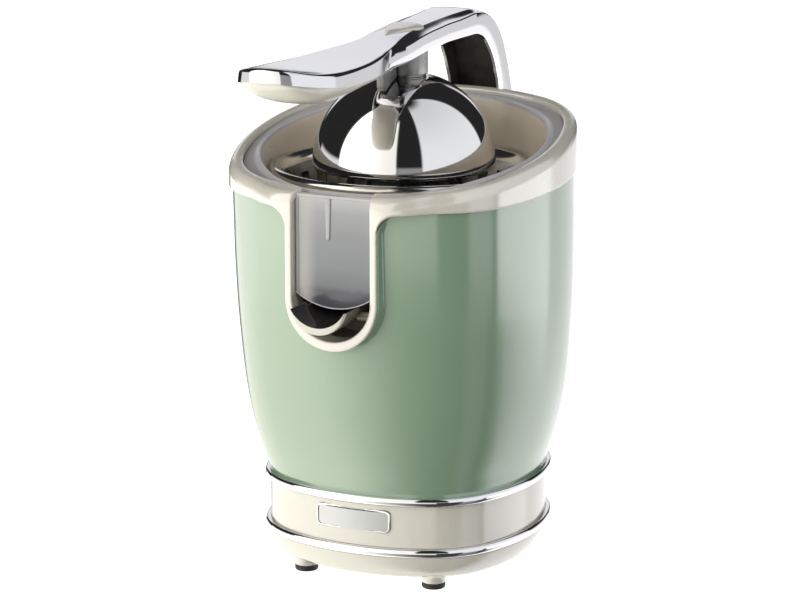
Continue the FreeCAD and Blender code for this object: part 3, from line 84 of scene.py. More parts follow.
class Build:
    """Collects grids of points into one mesh."""

    def __init__(self):
        self.v, self.f, self.m = [], [], []

    def add(self, pts):
        k = len(self.v)
        self.v.extend([tuple(p) for p in np.asarray(pts, float).reshape(-1, 3)])
        return k

    def grid(self, g, closed_u=False, closed_v=False, mat=0):
        """g[i][j]: quads between rows i and columns j."""
        g = np.asarray(g, float)
        n, m = g.shape[:2]
        k = self.add(g)
        for i in range(n if closed_u else n - 1):
            for j in range(m if closed_v else m - 1):
                a, b = k + i * m + j, k + ((i + 1) % n) * m + j
                c, d = k + ((i + 1) % n) * m + (j + 1) % m, k + i * m + (j + 1) % m
                self.f.append((a, b, c, d))
                self.m.append(mat)
        return self

    def cap(self, loop, mat=0):
        k = self.add(loop)
        self.f.append(tuple(range(k, k + len(loop))))
        self.m.append(mat)
        return self

    def fan(self, loop, mat=0):
        loop = np.asarray(loop, float)
        k = self.add(loop)
        c = self.add([loop.mean(axis=0)])
        n = len(loop)
        for i in range(n):
            self.f.append((k + i, k + (i + 1) % n, c))
            self.m.append(mat)
        return self

    def mirror(self):
        k = len(self.v)
        self.v.extend([(-x, y, z) for x, y, z in self.v])
        self.f.extend([tuple(reversed([i + k for i in f])) for f in list(self.f)])
        self.m.extend(list(self.m))
        return self

    def make(self, name, mats, body="root", slot=None, replaces=(), angle=35.0):
        ob = mesh_object(name, self.v, self.f, mats, self.m, angle)
        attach(ob, body)
        if replaces:
            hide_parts(*replaces)
        return ob


def pchip(xs, ys):
    """Smooth monotone interpolation through a table."""
    xs, ys = np.asarray(xs, float), np.asarray(ys, float)
    h = np.diff(xs)
    d = np.diff(ys) / h
    m = np.zeros_like(ys)
    for i in range(1, len(xs) - 1):
        if d[i - 1] * d[i] > 0:
            w1, w2 = 2 * h[i] + h[i - 1], h[i] + 2 * h[i - 1]
            m[i] = (w1 + w2) / (w1 / d[i - 1] + w2 / d[i])
    m[0], m[-1] = d[0], d[-1]

    def f(x):
        x = np.clip(np.asarray(x, float), xs[0], xs[-1])
        i = np.clip(np.searchsorted(xs, x, side="right") - 1, 0, len(xs) - 2)
        t = (x - xs[i]) / h[i]
        return ((1 + 2 * t) * (1 - t) ** 2 * ys[i] + t * (1 - t) ** 2 * h[i] * m[i]
                + t * t * (3 - 2 * t) * ys[i + 1] + t * t * (t - 1) * h[i] * m[i + 1])
    return f


def smooth(t):
    t = np.clip(t, 0.0, 1.0)
    return t * t * (3 - 2 * t)


# the plan outline of the machine: long side arcs and tighter corner arcs
SIDE = 1.36
_back = ((SIDE - 1.03) ** 2 - (SIDE - 0.97) ** 2) / (2 * (SIDE - 0.97) * math.sqrt(0.5) - 2 * (SIDE - 1.03))
CORNER = 1.03 - _back
PHI = math.atan2(_back * math.sqrt(0.5), _back * math.sqrt(0.5) + SIDE - 0.97)
Q_SIDE, Q_CORN = PHI * SIDE, (math.pi / 2 - 2 * PHI) * CORNER
QUAD = 2 * Q_SIDE + Q_CORN


def plan(s, a, yc=0.0):
    """Point of the outline of size a at arc length s (in units of a) from the front middle, towards +X and back."""
    s = np.asarray(s, float)
    k = np.floor(s / QUAD + 1e-12)
    t = s - k * QUAD
    d = -math.pi / 2 + k * math.pi / 2
    cs, cc = 0.97 - SIDE, 1.03 - CORNER
    e = d + math.pi / 4
    first, last = t < Q_SIDE, t > Q_SIDE + Q_CORN
    a1 = d + t / SIDE
    a2 = d + PHI + (t - Q_SIDE) / CORNER
    a3 = d + math.pi / 2 - PHI + (t - Q_SIDE - Q_CORN) / SIDE
    x = np.where(first, cs * np.cos(d) + SIDE * np.cos(a1), np.where(last, cs * np.cos(d + math.pi / 2) + SIDE * np.cos(a3), cc * np.cos(e) + CORNER * np.cos(a2)))
    y = np.where(first, cs * np.sin(d) + SIDE * np.sin(a1), np.where(last, cs * np.sin(d + math.pi / 2) + SIDE * np.sin(a3), cc * np.sin(e) + CORNER * np.sin(a2)))
    return x * a, y * a + yc


N_ALL = 288
S_ALL = np.arange(N_ALL) * (4 * QUAD / N_ALL)


def loop(a, z, yc=0.0):
    x, y = plan(S_ALL, a, yc)
    zz = z(y) if callable(z) else np.full_like(x, z)
    return np.stack([x, y, zz], 1)


def s_of_x(x, a):
    """Arc length, in units of a, where the front of the outline reaches that x."""
    lim = SIDE * a * math.sin(PHI)
    if x <= lim:
        return math.asin(x / (SIDE * a)) * SIDE
    lo, hi = Q_SIDE, QUAD
    for _ in range(60):
        mid = (lo + hi) / 2
        if plan(mid, a)[0] < x:
            lo = mid
        else:
            hi = mid
    return (lo + hi) / 2


def circle(r, z, n=144, y=0.0, x=0.0):
    t = np.arange(n) * 2 * math.pi / n
    return np.stack([x + r * np.cos(t), y + r * np.sin(t), np.full(n, z) if not callable(z) else z(y + r * np.sin(t))], 1)


def arc(cx, cy, r, a0, a1, n):
    t = np.radians(np.linspace(a0, a1, n))
    return [(cx + r * math.cos(q), cy + r * math.sin(q)) for q in t]


# ---------------------------------------------------------------- materials
def material(name, color, rough=0.4, metal=0.0, rough_var=0.06, bump=0.0, bump_scale=900.0, tint=0.03, tint_scale=14.0, coat=0.0, spec=0.5,
             aniso=0.0, brushed=None, coat_ior=1.5, coat_rough=0.06, edge=0.0, edge_color=None, dust=0.0, trans=0.0, alpha=1.0, ior=None, scratch=0.0):
    m = bpy.data.materials.new(name)
    m.use_nodes = True
    nt = m.node_tree
    N, L = nt.nodes, nt.links
    for n in list(N):
        N.remove(n)
    out = N.new("ShaderNodeOutputMaterial")
    b = N.new("ShaderNodeBsdfPrincipled")
    L.new(b.outputs[0], out.inputs["Surface"])
    b.inputs["Metallic"].default_value = metal
    b.inputs["Specular IOR Level"].default_value = spec
    b.inputs["Coat Weight"].default_value = coat
    b.inputs["Coat Roughness"].default_value = coat_rough
    b.inputs["Coat IOR"].default_value = coat_ior
    b.inputs["Transmission Weight"].default_value = trans
    b.inputs["Alpha"].default_value = alpha
    b.inputs["Anisotropic"].default_value = aniso
    if ior:
        b.inputs["IOR"].default_value = ior
    geo = N.new("ShaderNodeTexCoord")
    src = geo.outputs["Object"]
    if brushed:
        mp = N.new("ShaderNodeMapping")
        mp.inputs["Scale"].default_value = brushed
        L.new(src, mp.inputs["Vector"])
        fine_src = mp.outputs["Vector"]
    else:
        fine_src = src
    broad = N.new("ShaderNodeTexNoise")
    broad.inputs["Scale"].default_value = tint_scale
    broad.inputs["Detail"].default_value = 4.0
    L.new(src, broad.inputs["Vector"])
    fine = N.new("ShaderNodeTexNoise")
    fine.inputs["Scale"].default_value = bump_scale
    fine.inputs["Detail"].default_value = 3.0
    L.new(fine_src, fine.inputs["Vector"])
    # colour: a slow drift, and where edge is given, another colour on sharp edges, picked out by pointiness
    ramp = N.new("ShaderNodeValToRGB")
    c = np.array(color[:3])
    ramp.color_ramp.elements[0].position = 0.3
    ramp.color_ramp.elements[1].position = 0.7
    ramp.color_ramp.elements[0].color = (*np.clip(c * (1 - tint), 0, 1), 1)
    ramp.color_ramp.elements[1].color = (*np.clip(c * (1 + tint), 0, 1), 1)
    L.new(broad.outputs["Fac"], ramp.inputs["Fac"])
    col = ramp.outputs["Color"]
    if edge > 0:
        g = N.new("ShaderNodeNewGeometry")
        er = N.new("ShaderNodeValToRGB")
        er.color_ramp.elements[0].position = 0.51
        er.color_ramp.elements[1].position = 0.60
        L.new(g.outputs["Pointiness"], er.inputs["Fac"])
        mul = N.new("ShaderNodeMath")
        mul.operation = "MULTIPLY"
        mul.inputs[1].default_value = edge
        L.new(er.outputs["Color"], mul.inputs[0])
        mx = N.new("ShaderNodeMix")
        mx.data_type = "RGBA"
        L.new(mul.outputs[0], mx.inputs["Factor"])
        L.new(col, mx.inputs[6])
        mx.inputs[7].default_value = (*(edge_color or np.clip(c * 1.25, 0, 1)), 1)
        col = mx.outputs[2]
    L.new(col, b.inputs["Base Color"])
    # roughness: smudges and fine haze
    rr = N.new("ShaderNodeMapRange")
    rr.inputs["From Min"].default_value = 0.3
    rr.inputs["From Max"].default_value = 0.7
    rr.inputs["To Min"].default_value = max(0.0, rough - rough_var)
    rr.inputs["To Max"].default_value = rough + rough_var
    smudge = N.new("ShaderNodeTexNoise")
    smudge.inputs["Scale"].default_value = 38.0
    smudge.inputs["Detail"].default_value = 6.0
    smudge.inputs["Roughness"].default_value = 0.6
    L.new(src, smudge.inputs["Vector"])
    L.new(smudge.outputs["Fac"], rr.inputs["Value"])
    L.new(rr.outputs["Result"], b.inputs["Roughness"])
    if bump > 0:
        bp = N.new("ShaderNodeBump")
        bp.inputs["Strength"].default_value = bump
        bp.inputs["Distance"].default_value = 0.0001
        L.new(fine.outputs["Fac"], bp.inputs["Height"])
        L.new(bp.outputs["Normal"], b.inputs["Normal"])
    return m


def paint_light_by_side(mat, x0, x1, color, amount):
    """Paints light and shade into the base colour: turns it towards another one on the side of x0, fading out at x1
    (metres).
    """
    nt_ = mat.node_tree
    bs = next(n for n in nt_.nodes if n.type == "BSDF_PRINCIPLED")
    src_ = bs.inputs["Base Color"].links[0].from_socket
    tcn = nt_.nodes.new("ShaderNodeTexCoord")
    sp_ = nt_.nodes.new("ShaderNodeSeparateXYZ")
    nt_.links.new(tcn.outputs["Object"], sp_.inputs[0])
    mr = nt_.nodes.new("ShaderNodeMapRange")
    mr.interpolation_type = "SMOOTHSTEP"
    mr.inputs[1].default_value = x0
    mr.inputs[2].default_value = x1
    mr.inputs[3].default_value = amount
    mr.inputs[4].default_value = 0.0
    nt_.links.new(sp_.outputs["X"], mr.inputs[0])
    mx = nt_.nodes.new("ShaderNodeMix")
    mx.data_type = "RGBA"
    nt_.links.new(mr.outputs[0], mx.inputs[0])
    nt_.links.new(src_, mx.inputs[6])
    mx.inputs[7].default_value = (*color[:3], 1)
    nt_.links.new(mx.outputs[2], bs.inputs["Base Color"])


def paint_light_by_height(mat, stops):
    """Paints shade and reflection into the base colour by height: (z in metres, colour) pairs."""
    nt_ = mat.node_tree
    bs = next(n for n in nt_.nodes if n.type == "BSDF_PRINCIPLED")
    tcn = nt_.nodes.new("ShaderNodeTexCoord")
    sp_ = nt_.nodes.new("ShaderNodeSeparateXYZ")
    nt_.links.new(tcn.outputs["Object"], sp_.inputs[0])
    wob = nt_.nodes.new("ShaderNodeTexNoise")
    wob.inputs["Scale"].default_value = 60.0
    nt_.links.new(tcn.outputs["Object"], wob.inputs["Vector"])
    ma = nt_.nodes.new("ShaderNodeMath")
    ma.operation = "MULTIPLY_ADD"
    ma.inputs[1].default_value = 0.004
    nt_.links.new(wob.outputs["Fac"], ma.inputs[0])
    nt_.links.new(sp_.outputs["Z"], ma.inputs[2])
    lo, hi = stops[0][0], stops[-1][0]
    mrn = nt_.nodes.new("ShaderNodeMapRange")
    mrn.inputs["From Min"].default_value = lo + 0.002
    mrn.inputs["From Max"].default_value = hi + 0.002
    nt_.links.new(ma.outputs[0], mrn.inputs["Value"])
    rmp = nt_.nodes.new("ShaderNodeValToRGB")
    el_ = rmp.color_ramp.elements
    el_[0].position, el_[0].color = 0.0, (*stops[0][1], 1)
    el_[1].position, el_[1].color = 1.0, (*stops[-1][1], 1)
    for z_, c_ in stops[1:-1]:
        e_ = el_.new((z_ - lo) / (hi - lo))
        e_.color = (*c_, 1)
    nt_.links.new(mrn.outputs["Result"], rmp.inputs["Fac"])
    nt_.links.new(rmp.outputs["Color"], bs.inputs["Base Color"])


def lin(r, g, b):
    """Screen colour 0..255 to scene-linear."""
    q = np.array([r, g, b]) / 255.0
    return tuple(np.where(q <= 0.04045, q / 12.92, ((q + 0.055) / 1.055) ** 2.4))


GREEN = material("green_gloss_paint", (0.248, 0.366, 0.247), rough=0.34, rough_var=0.04, bump=0.03, bump_scale=500.0, tint=0.015, coat=1.0, spec=0.1, coat_ior=2.2, coat_rough=0.15)
CREAM = material("cream_gloss", lin(212, 208, 196), rough=0.26, rough_var=0.04, bump=0.04, bump_scale=700.0, tint=0.015, coat=1.0, spec=0.2, coat_ior=2.0, coat_rough=0.14)
CREAM_TOP = material("cream_gloss_collar", lin(222, 217, 205), rough=0.26, rough_var=0.04, bump=0.04, bump_scale=700.0, tint=0.015, coat=1.0, spec=0.2, coat_ior=2.5, coat_rough=0.16)
CREAM_SOFT = material("cream_moulded", lin(224, 219, 204), rough=0.34, rough_var=0.05, bump=0.08, bump_scale=1100.0, tint=0.02, coat=1.0, coat_ior=1.9, coat_rough=0.3)
CHROME = material("trim_chrome", (0.82, 0.82, 0.84), rough=0.045, rough_var=0.02, metal=1.0, bump=0.02, bump_scale=300.0, tint=0.01)
DOME = material("dome_steel", (0.78, 0.775, 0.77), rough=0.05, rough_var=0.02, metal=1.0, bump=0.015, bump_scale=160.0, tint=0.012)
ARM = material("arm_polished", (0.79, 0.79, 0.82), rough=0.09, rough_var=0.025, metal=1.0, bump=0.03, bump_scale=120.0, tint=0.015)
CAST = material("cast_satin", (0.25, 0.248, 0.24), rough=0.34, rough_var=0.10, metal=1.0, bump=0.55, bump_scale=420.0, tint=0.16, tint_scale=90.0)
CAST_HUB_PAINTED_SHADE = material("cast_hub_painted_shade", (0.27, 0.268, 0.26), rough=0.34, rough_var=0.10, metal=1.0, bump=0.5, bump_scale=420.0, tint=0.16, tint_scale=90.0)
# painted shade: the hub's left side, below x = 2 mm, is turned almost black, fading out by x = 8 mm, standing for the
# dark reflection there
paint_light_by_side(CAST_HUB_PAINTED_SHADE, 0.002, 0.008, (0.05, 0.05, 0.048), 0.85)
PLATE_DARK_AND_SHADE_LINES = material("cast_plate_and_painted_shade_lines", (0.16, 0.16, 0.16), rough=0.46, rough_var=0.10, metal=0.9, bump=0.5, bump_scale=420.0, tint=0.25, tint_scale=80.0, edge=0.5, edge_color=(0.5, 0.5, 0.5))
# painted shade: a dark copy of the arm's metal for the channel inside the leg
CHANNEL_PAINTED_SHADE = material("arm_channel_painted_shade", (0.135, 0.128, 0.12), rough=0.50, rough_var=0.12, metal=0.75, bump=0.6, bump_scale=380.0, tint=0.30, tint_scale=70.0)
# painted shade: a darker copy of the filter steel for the basket's wall, standing for the shade inside the bowl
STEEL_WALL_PAINTED_SHADE = material("filter_wall_steel_painted_shade", (0.30, 0.29, 0.275), rough=0.24, rough_var=0.06, metal=1.0, bump=0.05, bump_scale=300.0, tint=0.05)
STEEL = material("filter_steel", (0.66, 0.645, 0.62), rough=0.13, rough_var=0.05, metal=1.0, bump=0.04, bump_scale=300.0, tint=0.03)
SMOKE = material("smoke_plastic", lin(180, 176, 177), rough=0.20, rough_var=0.04, bump=0.04, bump_scale=600.0, tint=0.03, coat=0.2)
BOWL = material("bowl_plastic", lin(222, 208, 188), rough=0.24, rough_var=0.05, bump=0.04, bump_scale=500.0, tint=0.03, coat=0.2)
WINDOW = material("window_plastic", lin(150, 150, 160), rough=0.22, rough_var=0.05, bump=0.05, bump_scale=260.0, tint=0.05, tint_scale=30.0, coat=0.15)
# painted shade: the cream of the recess walls behind the spout frame, darkened to a taupe
RECESS_PAINTED_SHADE = material("recess_painted_shade", lin(118, 106, 90), rough=0.42, rough_var=0.06, bump=0.12, bump_scale=900.0, tint=0.04)
DARK = material("trough_dark", lin(52, 50, 50), rough=0.16, rough_var=0.04, bump=0.04, bump_scale=500.0, tint=0.06)
# painted shade: a shaded grey-taupe for the trough's outer faces and pivot bosses back in the recess
TROUGH_SIDE_PAINTED_SHADE = material("trough_side_painted_shade", lin(112, 106, 96), rough=0.30, rough_var=0.05, bump=0.06, bump_scale=700.0, tint=0.04, coat=0.1)
# painted highlight: a lighter copy of the smoke plastic for the bowl's lip bead and the window's lower edge
SMOKE_PAINTED_HIGHLIGHT = material("smoke_edge_painted_highlight", lin(196, 194, 200), rough=0.22, rough_var=0.04, bump=0.05, bump_scale=600.0, tint=0.03, coat=0.2)
RIB = material("rib_plastic", lin(172, 173, 176), rough=0.22, rough_var=0.04, bump=0.05, bump_scale=600.0, tint=0.03, coat=0.15)
RUBBER = material("rubber_black", lin(34, 34, 36), rough=0.55, rough_var=0.08, bump=0.25, bump_scale=1300.0, tint=0.08)
PLATE = material("plate_silver", (0.50, 0.505, 0.51), rough=0.34, rough_var=0.05, metal=1.0, bump=0.25, bump_scale=900.0, tint=0.03)
REAMER = material("reamer_plastic", lin(70, 70, 74), rough=0.25, rough_var=0.05, bump=0.06, bump_scale=600.0, tint=0.04)
GREY = material("grey_moulded", lin(150, 150, 150), rough=0.48, rough_var=0.06, bump=0.12, bump_scale=1100.0, tint=0.04)
BLACKP = material("black_moulded", lin(28, 28, 28), rough=0.42, rough_var=0.06, bump=0.12, bump_scale=1100.0, tint=0.06)
TURNED = material("turned_steel", (0.60, 0.60, 0.61), rough=0.24, rough_var=0.07, metal=1.0, bump=0.12, bump_scale=600.0, tint=0.04)
SHEET = material("zinc_sheet", (0.55, 0.56, 0.58), rough=0.36, rough_var=0.08, metal=1.0, bump=0.12, bump_scale=240.0, tint=0.10, tint_scale=40.0)
BRASS = material("brass", (0.66, 0.48, 0.22), rough=0.28, rough_var=0.07, metal=1.0, bump=0.10, bump_scale=600.0, tint=0.05)
NYLON = material("nylon", lin(226, 222, 208), rough=0.45, rough_var=0.05, bump=0.08, bump_scale=900.0, tint=0.03)
IRON = material("iron", (0.12, 0.115, 0.11), rough=0.5, rough_var=0.1, metal=0.8, bump=0.3, bump_scale=500.0, tint=0.15)

# ---------------------------------------------------------------- CAD nodes that stay: material by slot
BY_SLOT = {
    "cream_shell": CREAM_SOFT, "green_paint": GREEN, "bright_trim": CHROME, "polished_steel": STEEL, "polished_arm": ARM, "smoke_plastic": SMOKE,
    "smoke_dark": REAMER, "taupe_plastic": RECESS_PAINTED_SHADE, "grey_plastic": GREY, "black_plastic": BLACKP, "rubber_black": RUBBER, "steel_bright": TURNED,
    "steel_sheet": SHEET, "brass_gear": BRASS, "nylon_gear": NYLON, "iron_core": IRON, "magnet_dark": IRON}
for part in frame["record"]["subparts"]:
    node = NODES[part["node"]]
    mat = BY_SLOT[part["material_slot"]]
    if not node.data.materials:
        node.data.materials.append(mat)
    for sl in node.material_slots:
        sl.material = mat

# ---------------------------------------------------------------- camera
cam = bpy.data.cameras.new("camera")
cam.lens, cam.sensor_width, cam.sensor_fit = 139.3, 36.0, "HORIZONTAL"
cam.clip_start, cam.clip_end = 0.05, 30.0
cam_ob = bpy.data.objects.new("camera", cam)
SC.collection.objects.link(cam_ob)
cam_ob.location = (0.6958, -1.5002, 0.5333)
target = Vector((-0.00477, 0.02785, 0.14619))
cam_ob.rotation_euler = (target - cam_ob.location).to_track_quat("-Z", "Y").to_euler()
SC.camera = cam_ob

# ---------------------------------------------------------------- base: dish, rings, band
def lathe_plan(profile, yc, name, mats, closed=True, face_mats=None, **kw):
    """Closed section (size, height) carried round the plan outline."""
    b = Build()
    rings = [loop(a, z, yc(z) if callable(yc) else yc) for a, z in profile]
    n = len(rings)
    for i in range(n if closed else n - 1):
        b.grid([rings[i], rings[(i + 1) % n]], closed_v=True, mat=face_mats[i] if face_mats else 0)
    if not closed:
        b.fan(rings[0])
        b.fan(rings[-1])
    return b.make(name, mats, **kw)


YB = 7.24
for tag, z0 in (("lower", 23.1), ("upper", 51.9)):
    zc, hz = z0 + 2.35, 2.25
    z1 = z0 + (4.7 if tag == "lower" else 4.6)
    sec = [(77.3, z0), (78.9, z0)]
    for k in range(13):
        t = math.radians(-90 + 15 * k)
        sec.append((78.4 + 1.6 * abs(math.cos(t)) ** 0.75 * 1.0, (z0 + z1) / 2 + (z1 - z0) / 2 * math.copysign(abs(math.sin(t)) ** 0.8, math.sin(t))))
    sec += [(78.3, z1), (77.3, z1)]
    lathe_plan(sec, YB, tag + "_ring", [CHROME], slot="bright_trim", replaces=(tag + "_trim_ring",))

lathe_plan([(77.1, 27.9), (77.1, 30.0), (77.1, 50.0), (77.1, 51.8), (74.7, 51.8), (74.7, 27.9)], YB, "band", [CREAM], slot="cream_shell", replaces=("base_band",))

dish_profile = pchip([9.6, 9.8, 10.5, 11.5, 12.9, 14.6, 16.5, 18.4, 20.3, 22.0, 23.1], [70.0, 70.7, 71.8, 73.1, 74.3, 75.5, 76.6, 77.5, 78.2, 78.7, 78.8])
prof = [(66.0, 9.6), (69.2, 9.6)] + [(float(dish_profile(z)), z) for z in np.concatenate([np.linspace(9.62, 12.0, 9), np.linspace(12.5, 22.4, 14), [22.9]])] + [(78.5, 23.05), (76.9, 23.1), (76.9, 27.6), (74.2, 27.6), (74.2, 31.5), (71.8, 31.5), (71.8, 17.5), (67.5, 17.5), (66.0, 14.0)]
b = Build()
rings = [loop(a, z, YB) for a, z in prof]
for i in range(len(rings) - 1):
    b.grid([rings[i], rings[i + 1]], closed_v=True)
b.fan(rings[0])
b.fan(rings[-1])
for fx in (-38.7, 38.7):
    for fy in (-45.7, 60.1):
        pr = [(6.35, 5.6), (6.5, 5.7), (6.55, 6.4), (6.75, 7.6), (7.15, 8.8), (7.9, 9.9), (8.9, 11.1), (9.7, 12.3), (10.2, 13.6)]
        rr = [circle(r, z, 48, fy, fx) for r, z in pr]
        for i in range(len(rr) - 1):
            b.grid([rr[i], rr[i + 1]], closed_v=True)
        b.fan(rr[0])
        b.fan(rr[-1])
b.make("dish", [CREAM], slot="cream_shell", replaces=("base_dish",))

b = Build()
for fx in (-38.7, 38.7):
    for fy in (-45.7, 60.1):
        pr = [(5.6, 2.3), (6.1, 2.42), (6.4, 2.8), (6.5, 3.3), (6.5, 5.0), (6.3, 5.45), (5.9, 5.6), (2.4, 5.62), (2.4, 8.2)]
        rr = [circle(r, z, 48, fy, fx) for r, z in pr]
        for i in range(len(rr) - 1):
            b.grid([rr[i], rr[i + 1]], closed_v=True)
        b.fan(rr[0])
        b.fan(rr[-1])
b.make("feet", [RUBBER], slot="rubber_black", replaces=("rubber_feet",))

# nameplate, bare, with a raised rim
def plate_outline(w, h, r, n=8):
    pts = []
    for cx, cz, a in ((w / 2 - r, h / 2 - r, 0), (-w / 2 + r, h / 2 - r, 90), (-w / 2 + r, -h / 2 + r, 180), (w / 2 - r, -h / 2 + r, 270)):
        pts += arc(cx, cz, r, a, a + 90, n)
    return np.array(pts)


def band_y(x, off):
    a = 77.1
    return YB - 0.97 * a + SIDE * a - np.sqrt((SIDE * a) ** 2 - np.asarray(x) ** 2) - off


b = Build()
levels = []
for w, h, r, off in ((44.0, 12.6, 3.0, 0.02), (44.0, 12.6, 3.0, 1.0), (43.8, 12.4, 2.9, 1.3), (43.4, 12.0, 2.7, 1.48), (42.7, 11.3, 2.4, 1.5), (42.2, 10.8, 2.2, 1.36), (41.9, 10.5, 2.05, 0.95)):
    o = plate_outline(w, h, r)
    levels.append(np.stack([o[:, 0], band_y(o[:, 0], off), o[:, 1] + 42.4], 1))
# the side wall and the inner slope take the dark plate material: painted shadow lines round the rim
for i in range(len(levels) - 1):
    b.grid([levels[i], levels[i + 1]], closed_v=True, mat=(2, 0, 0, 0, 0, 2)[i])
for w, h, r, off, mat in ((41.9, 10.5, 2.05, 0.95, 1), (44.0, 12.6, 3.0, 0.02, 1)):
    # rows across, so that the field follows the curve of the band
    rows_p = []
    for q in np.concatenate([r * (1 - np.cos(np.radians(np.arange(0, 90, 11.25)))), np.linspace(r, h - r, 9), h - r * (1 - np.cos(np.radians(np.arange(78.75, -1, -11.25))))]):
        e = min(q, h - q)
        half = w / 2 - (r - math.sqrt(max(0.0, r * r - (r - e) ** 2)) if e < r else 0.0)
        X = np.linspace(-half, half, 41)
        rows_p.append(np.stack([X, band_y(X, off), np.full(41, 42.4 - h / 2 + q)], 1))
    b.grid(rows_p, mat=mat)
b.make("name_plate", [CHROME, PLATE, PLATE_DARK_AND_SHADE_LINES], slot="bright_trim", replaces=("nameplate",), angle=28)

# ---------------------------------------------------------------- green body shell
body_a = pchip([51.9, 56.5, 60.0, 64.0, 74.0, 88.0, 105.0, 130.0, 160.0, 190.0, 222.0, 250.0], [76.9, 77.1, 78.2, 79.3, 82.5, 85.9, 88.7, 91.0, 92.7, 93.3, 93.35, 93.35])


def body_c(z):
    return YB * (1.0 - (np.asarray(z) - 54.0) / 186.0)


def arch_x(z, half=25.75, zc=168.8):
    if z >= zc:
        return half
    if z > zc - half:
        return math.sqrt(half * half - (zc - z) ** 2)
    return 0.0


rows = [52.0, 54.5, 56.5, 58.0, 60.0, 62.0, 64.0, 67.0, 70.0, 74.0, 78.0, 82.0, 87.0, 92.0, 98.0, 104.0, 110.0, 116.0, 122.0, 128.0, 133.0, 138.0, 141.0]
rows += [168.8 - 25.75 * math.cos(math.radians(t)) for t in range(0, 91, 5)]
rows += [172.0, 176.0, 181.0, 187.0, 193.0, 199.0, 205.0, 211.0, 216.0]
rows += [219.3]
NB = 170


def shell_surface(off):
    g = []
    for z in rows:
        hi = z >= 216.0
        a_f = float(body_a(z)) + off
        x0 = arch_x(z)
        s0 = s_of_x(x0, a_f) if x0 > 0 else 0.0
        w = np.linspace(0, 1, NB) ** 1.0
        s = s0 + (2 * QUAD - s0) * w
        # heights lean towards the back above the arch
        x, y = plan(s, 93.0)
        zt = 229.5 + 0.11 * y
        k = smooth((z - 172.0) / (219.3 - 172.0)) if z > 172 else 0.0
        zz = z + k * (zt - 219.3) * 1.0
        aa = body_a(zz) + off
        x, y = plan(s, 1.0)
        g.append(np.stack([x * aa, y * aa + body_c(zz), zz], 1))
    return np.array(g)


b = Build()
go, gi = shell_surface(0.0), shell_surface(-2.4)
b.grid(go)
b.grid(gi)
b.grid([go[0], gi[0]])
b.grid([go[-1], gi[-1]])
first = [i for i, z in enumerate(rows) if arch_x(z) > 0][0] - 1
b.grid([go[first:, 0], gi[first:, 0]])
lip = []
for t in np.concatenate([np.radians(np.linspace(0, 90, 40)), [None] * 14]):
    lip.append(t)
n_st = 14
lip_grid = []
n_arc = 16
for k in range(40 + n_st + n_arc):
    shift = 0.0
    if k < 40:
        a_ = math.radians(90 * k / 39)
        nx, nz, cx_l, cz_l = math.sin(a_), -math.cos(a_), 0.0, 168.5
    elif k < 40 + n_st:
        nx, nz, cx_l, cz_l = 1.0, 0.0, 0.0, 168.5 + (206.2 - 168.5) * (k - 39) / n_st
    else:
        f_ = (k - 39 - n_st) / n_arc
        a_ = math.radians(180 - 84 * f_)
        nx, nz, cx_l, cz_l = -math.cos(a_), -math.sin(a_), 37.4 + 37.4 * math.cos(a_), 206.2 + 37.4 * math.sin(a_)
        shift = float(smooth(min(1.0, 1.5 * f_)))

    def lp(r, y):
        return (cx_l + nx * r, y, cz_l + nz * r)

    def drum_y(r):
        x, z = cx_l + nx * r, cz_l + nz * r
        a_f = float(body_a(z))
        px, py = plan(s_of_x(abs(x), a_f), a_f)
        return float(py) + float(body_c(z))
    FR = 1.9
    yd = drum_y(26.9 + FR)
    shift *= drum_y(26.9) - 0.5 + 91.7
    sec = [lp(25.75, drum_y(25.75) + 1.0), lp(25.75, shift - 91.5), lp(25.85, shift - 91.66), lp(26.0, shift - 91.7), lp(26.5, shift - 91.7), lp(26.75, shift - 91.6), lp(26.88, shift - 91.3), lp(26.9, shift - 90.8)]
    y0 = shift - 90.8
    y1 = min(drum_y(26.9) - 2.9, -88.0) if False else yd - FR
    y1 = max(y1, y0 + 0.05)
    for f in (0.5, 1.0):
        sec.append(lp(26.9, y0 + (y1 - y0) * f))
    for q in np.radians([15, 30, 45, 60, 75, 90]):
        r_ = 26.9 + FR * (1 - math.cos(q))
        sec.append(lp(r_, y1 + (drum_y(r_) - (yd - FR)) * 0.0 + FR * math.sin(q) + (0.0)))
    sec.append(lp(26.9 + FR + 0.9, drum_y(26.9 + FR + 0.9) + 0.15))
    sec.append(lp(26.9 + FR, drum_y(26.9 + FR) + 1.2))
    lip_grid.append(sec)
b.grid(lip_grid, closed_v=True)
b.cap(lip_grid[-1])
b.mirror()
b.make("green_body", [GREEN], slot="green_paint", replaces=("body_shell",), angle=50)

# ---------------------------------------------------------------- collar with the spout frame
CREST, LEAN = 242.0, 0.18
RIM_A, OUT_A = 87.4, 95.0


def front_bulge(x):
    """The collar's front comes forward to the flat face of the spout frame."""
    base = SIDE * OUT_A - np.sqrt((SIDE * OUT_A) ** 2 - np.minimum(np.abs(x), 60.0) ** 2) - 0.97 * OUT_A
    want = np.full_like(np.asarray(x, float), -93.9)
    t = smooth((np.abs(x) - 26.0) / 30.0)
    return (want - base) * (1 - t)


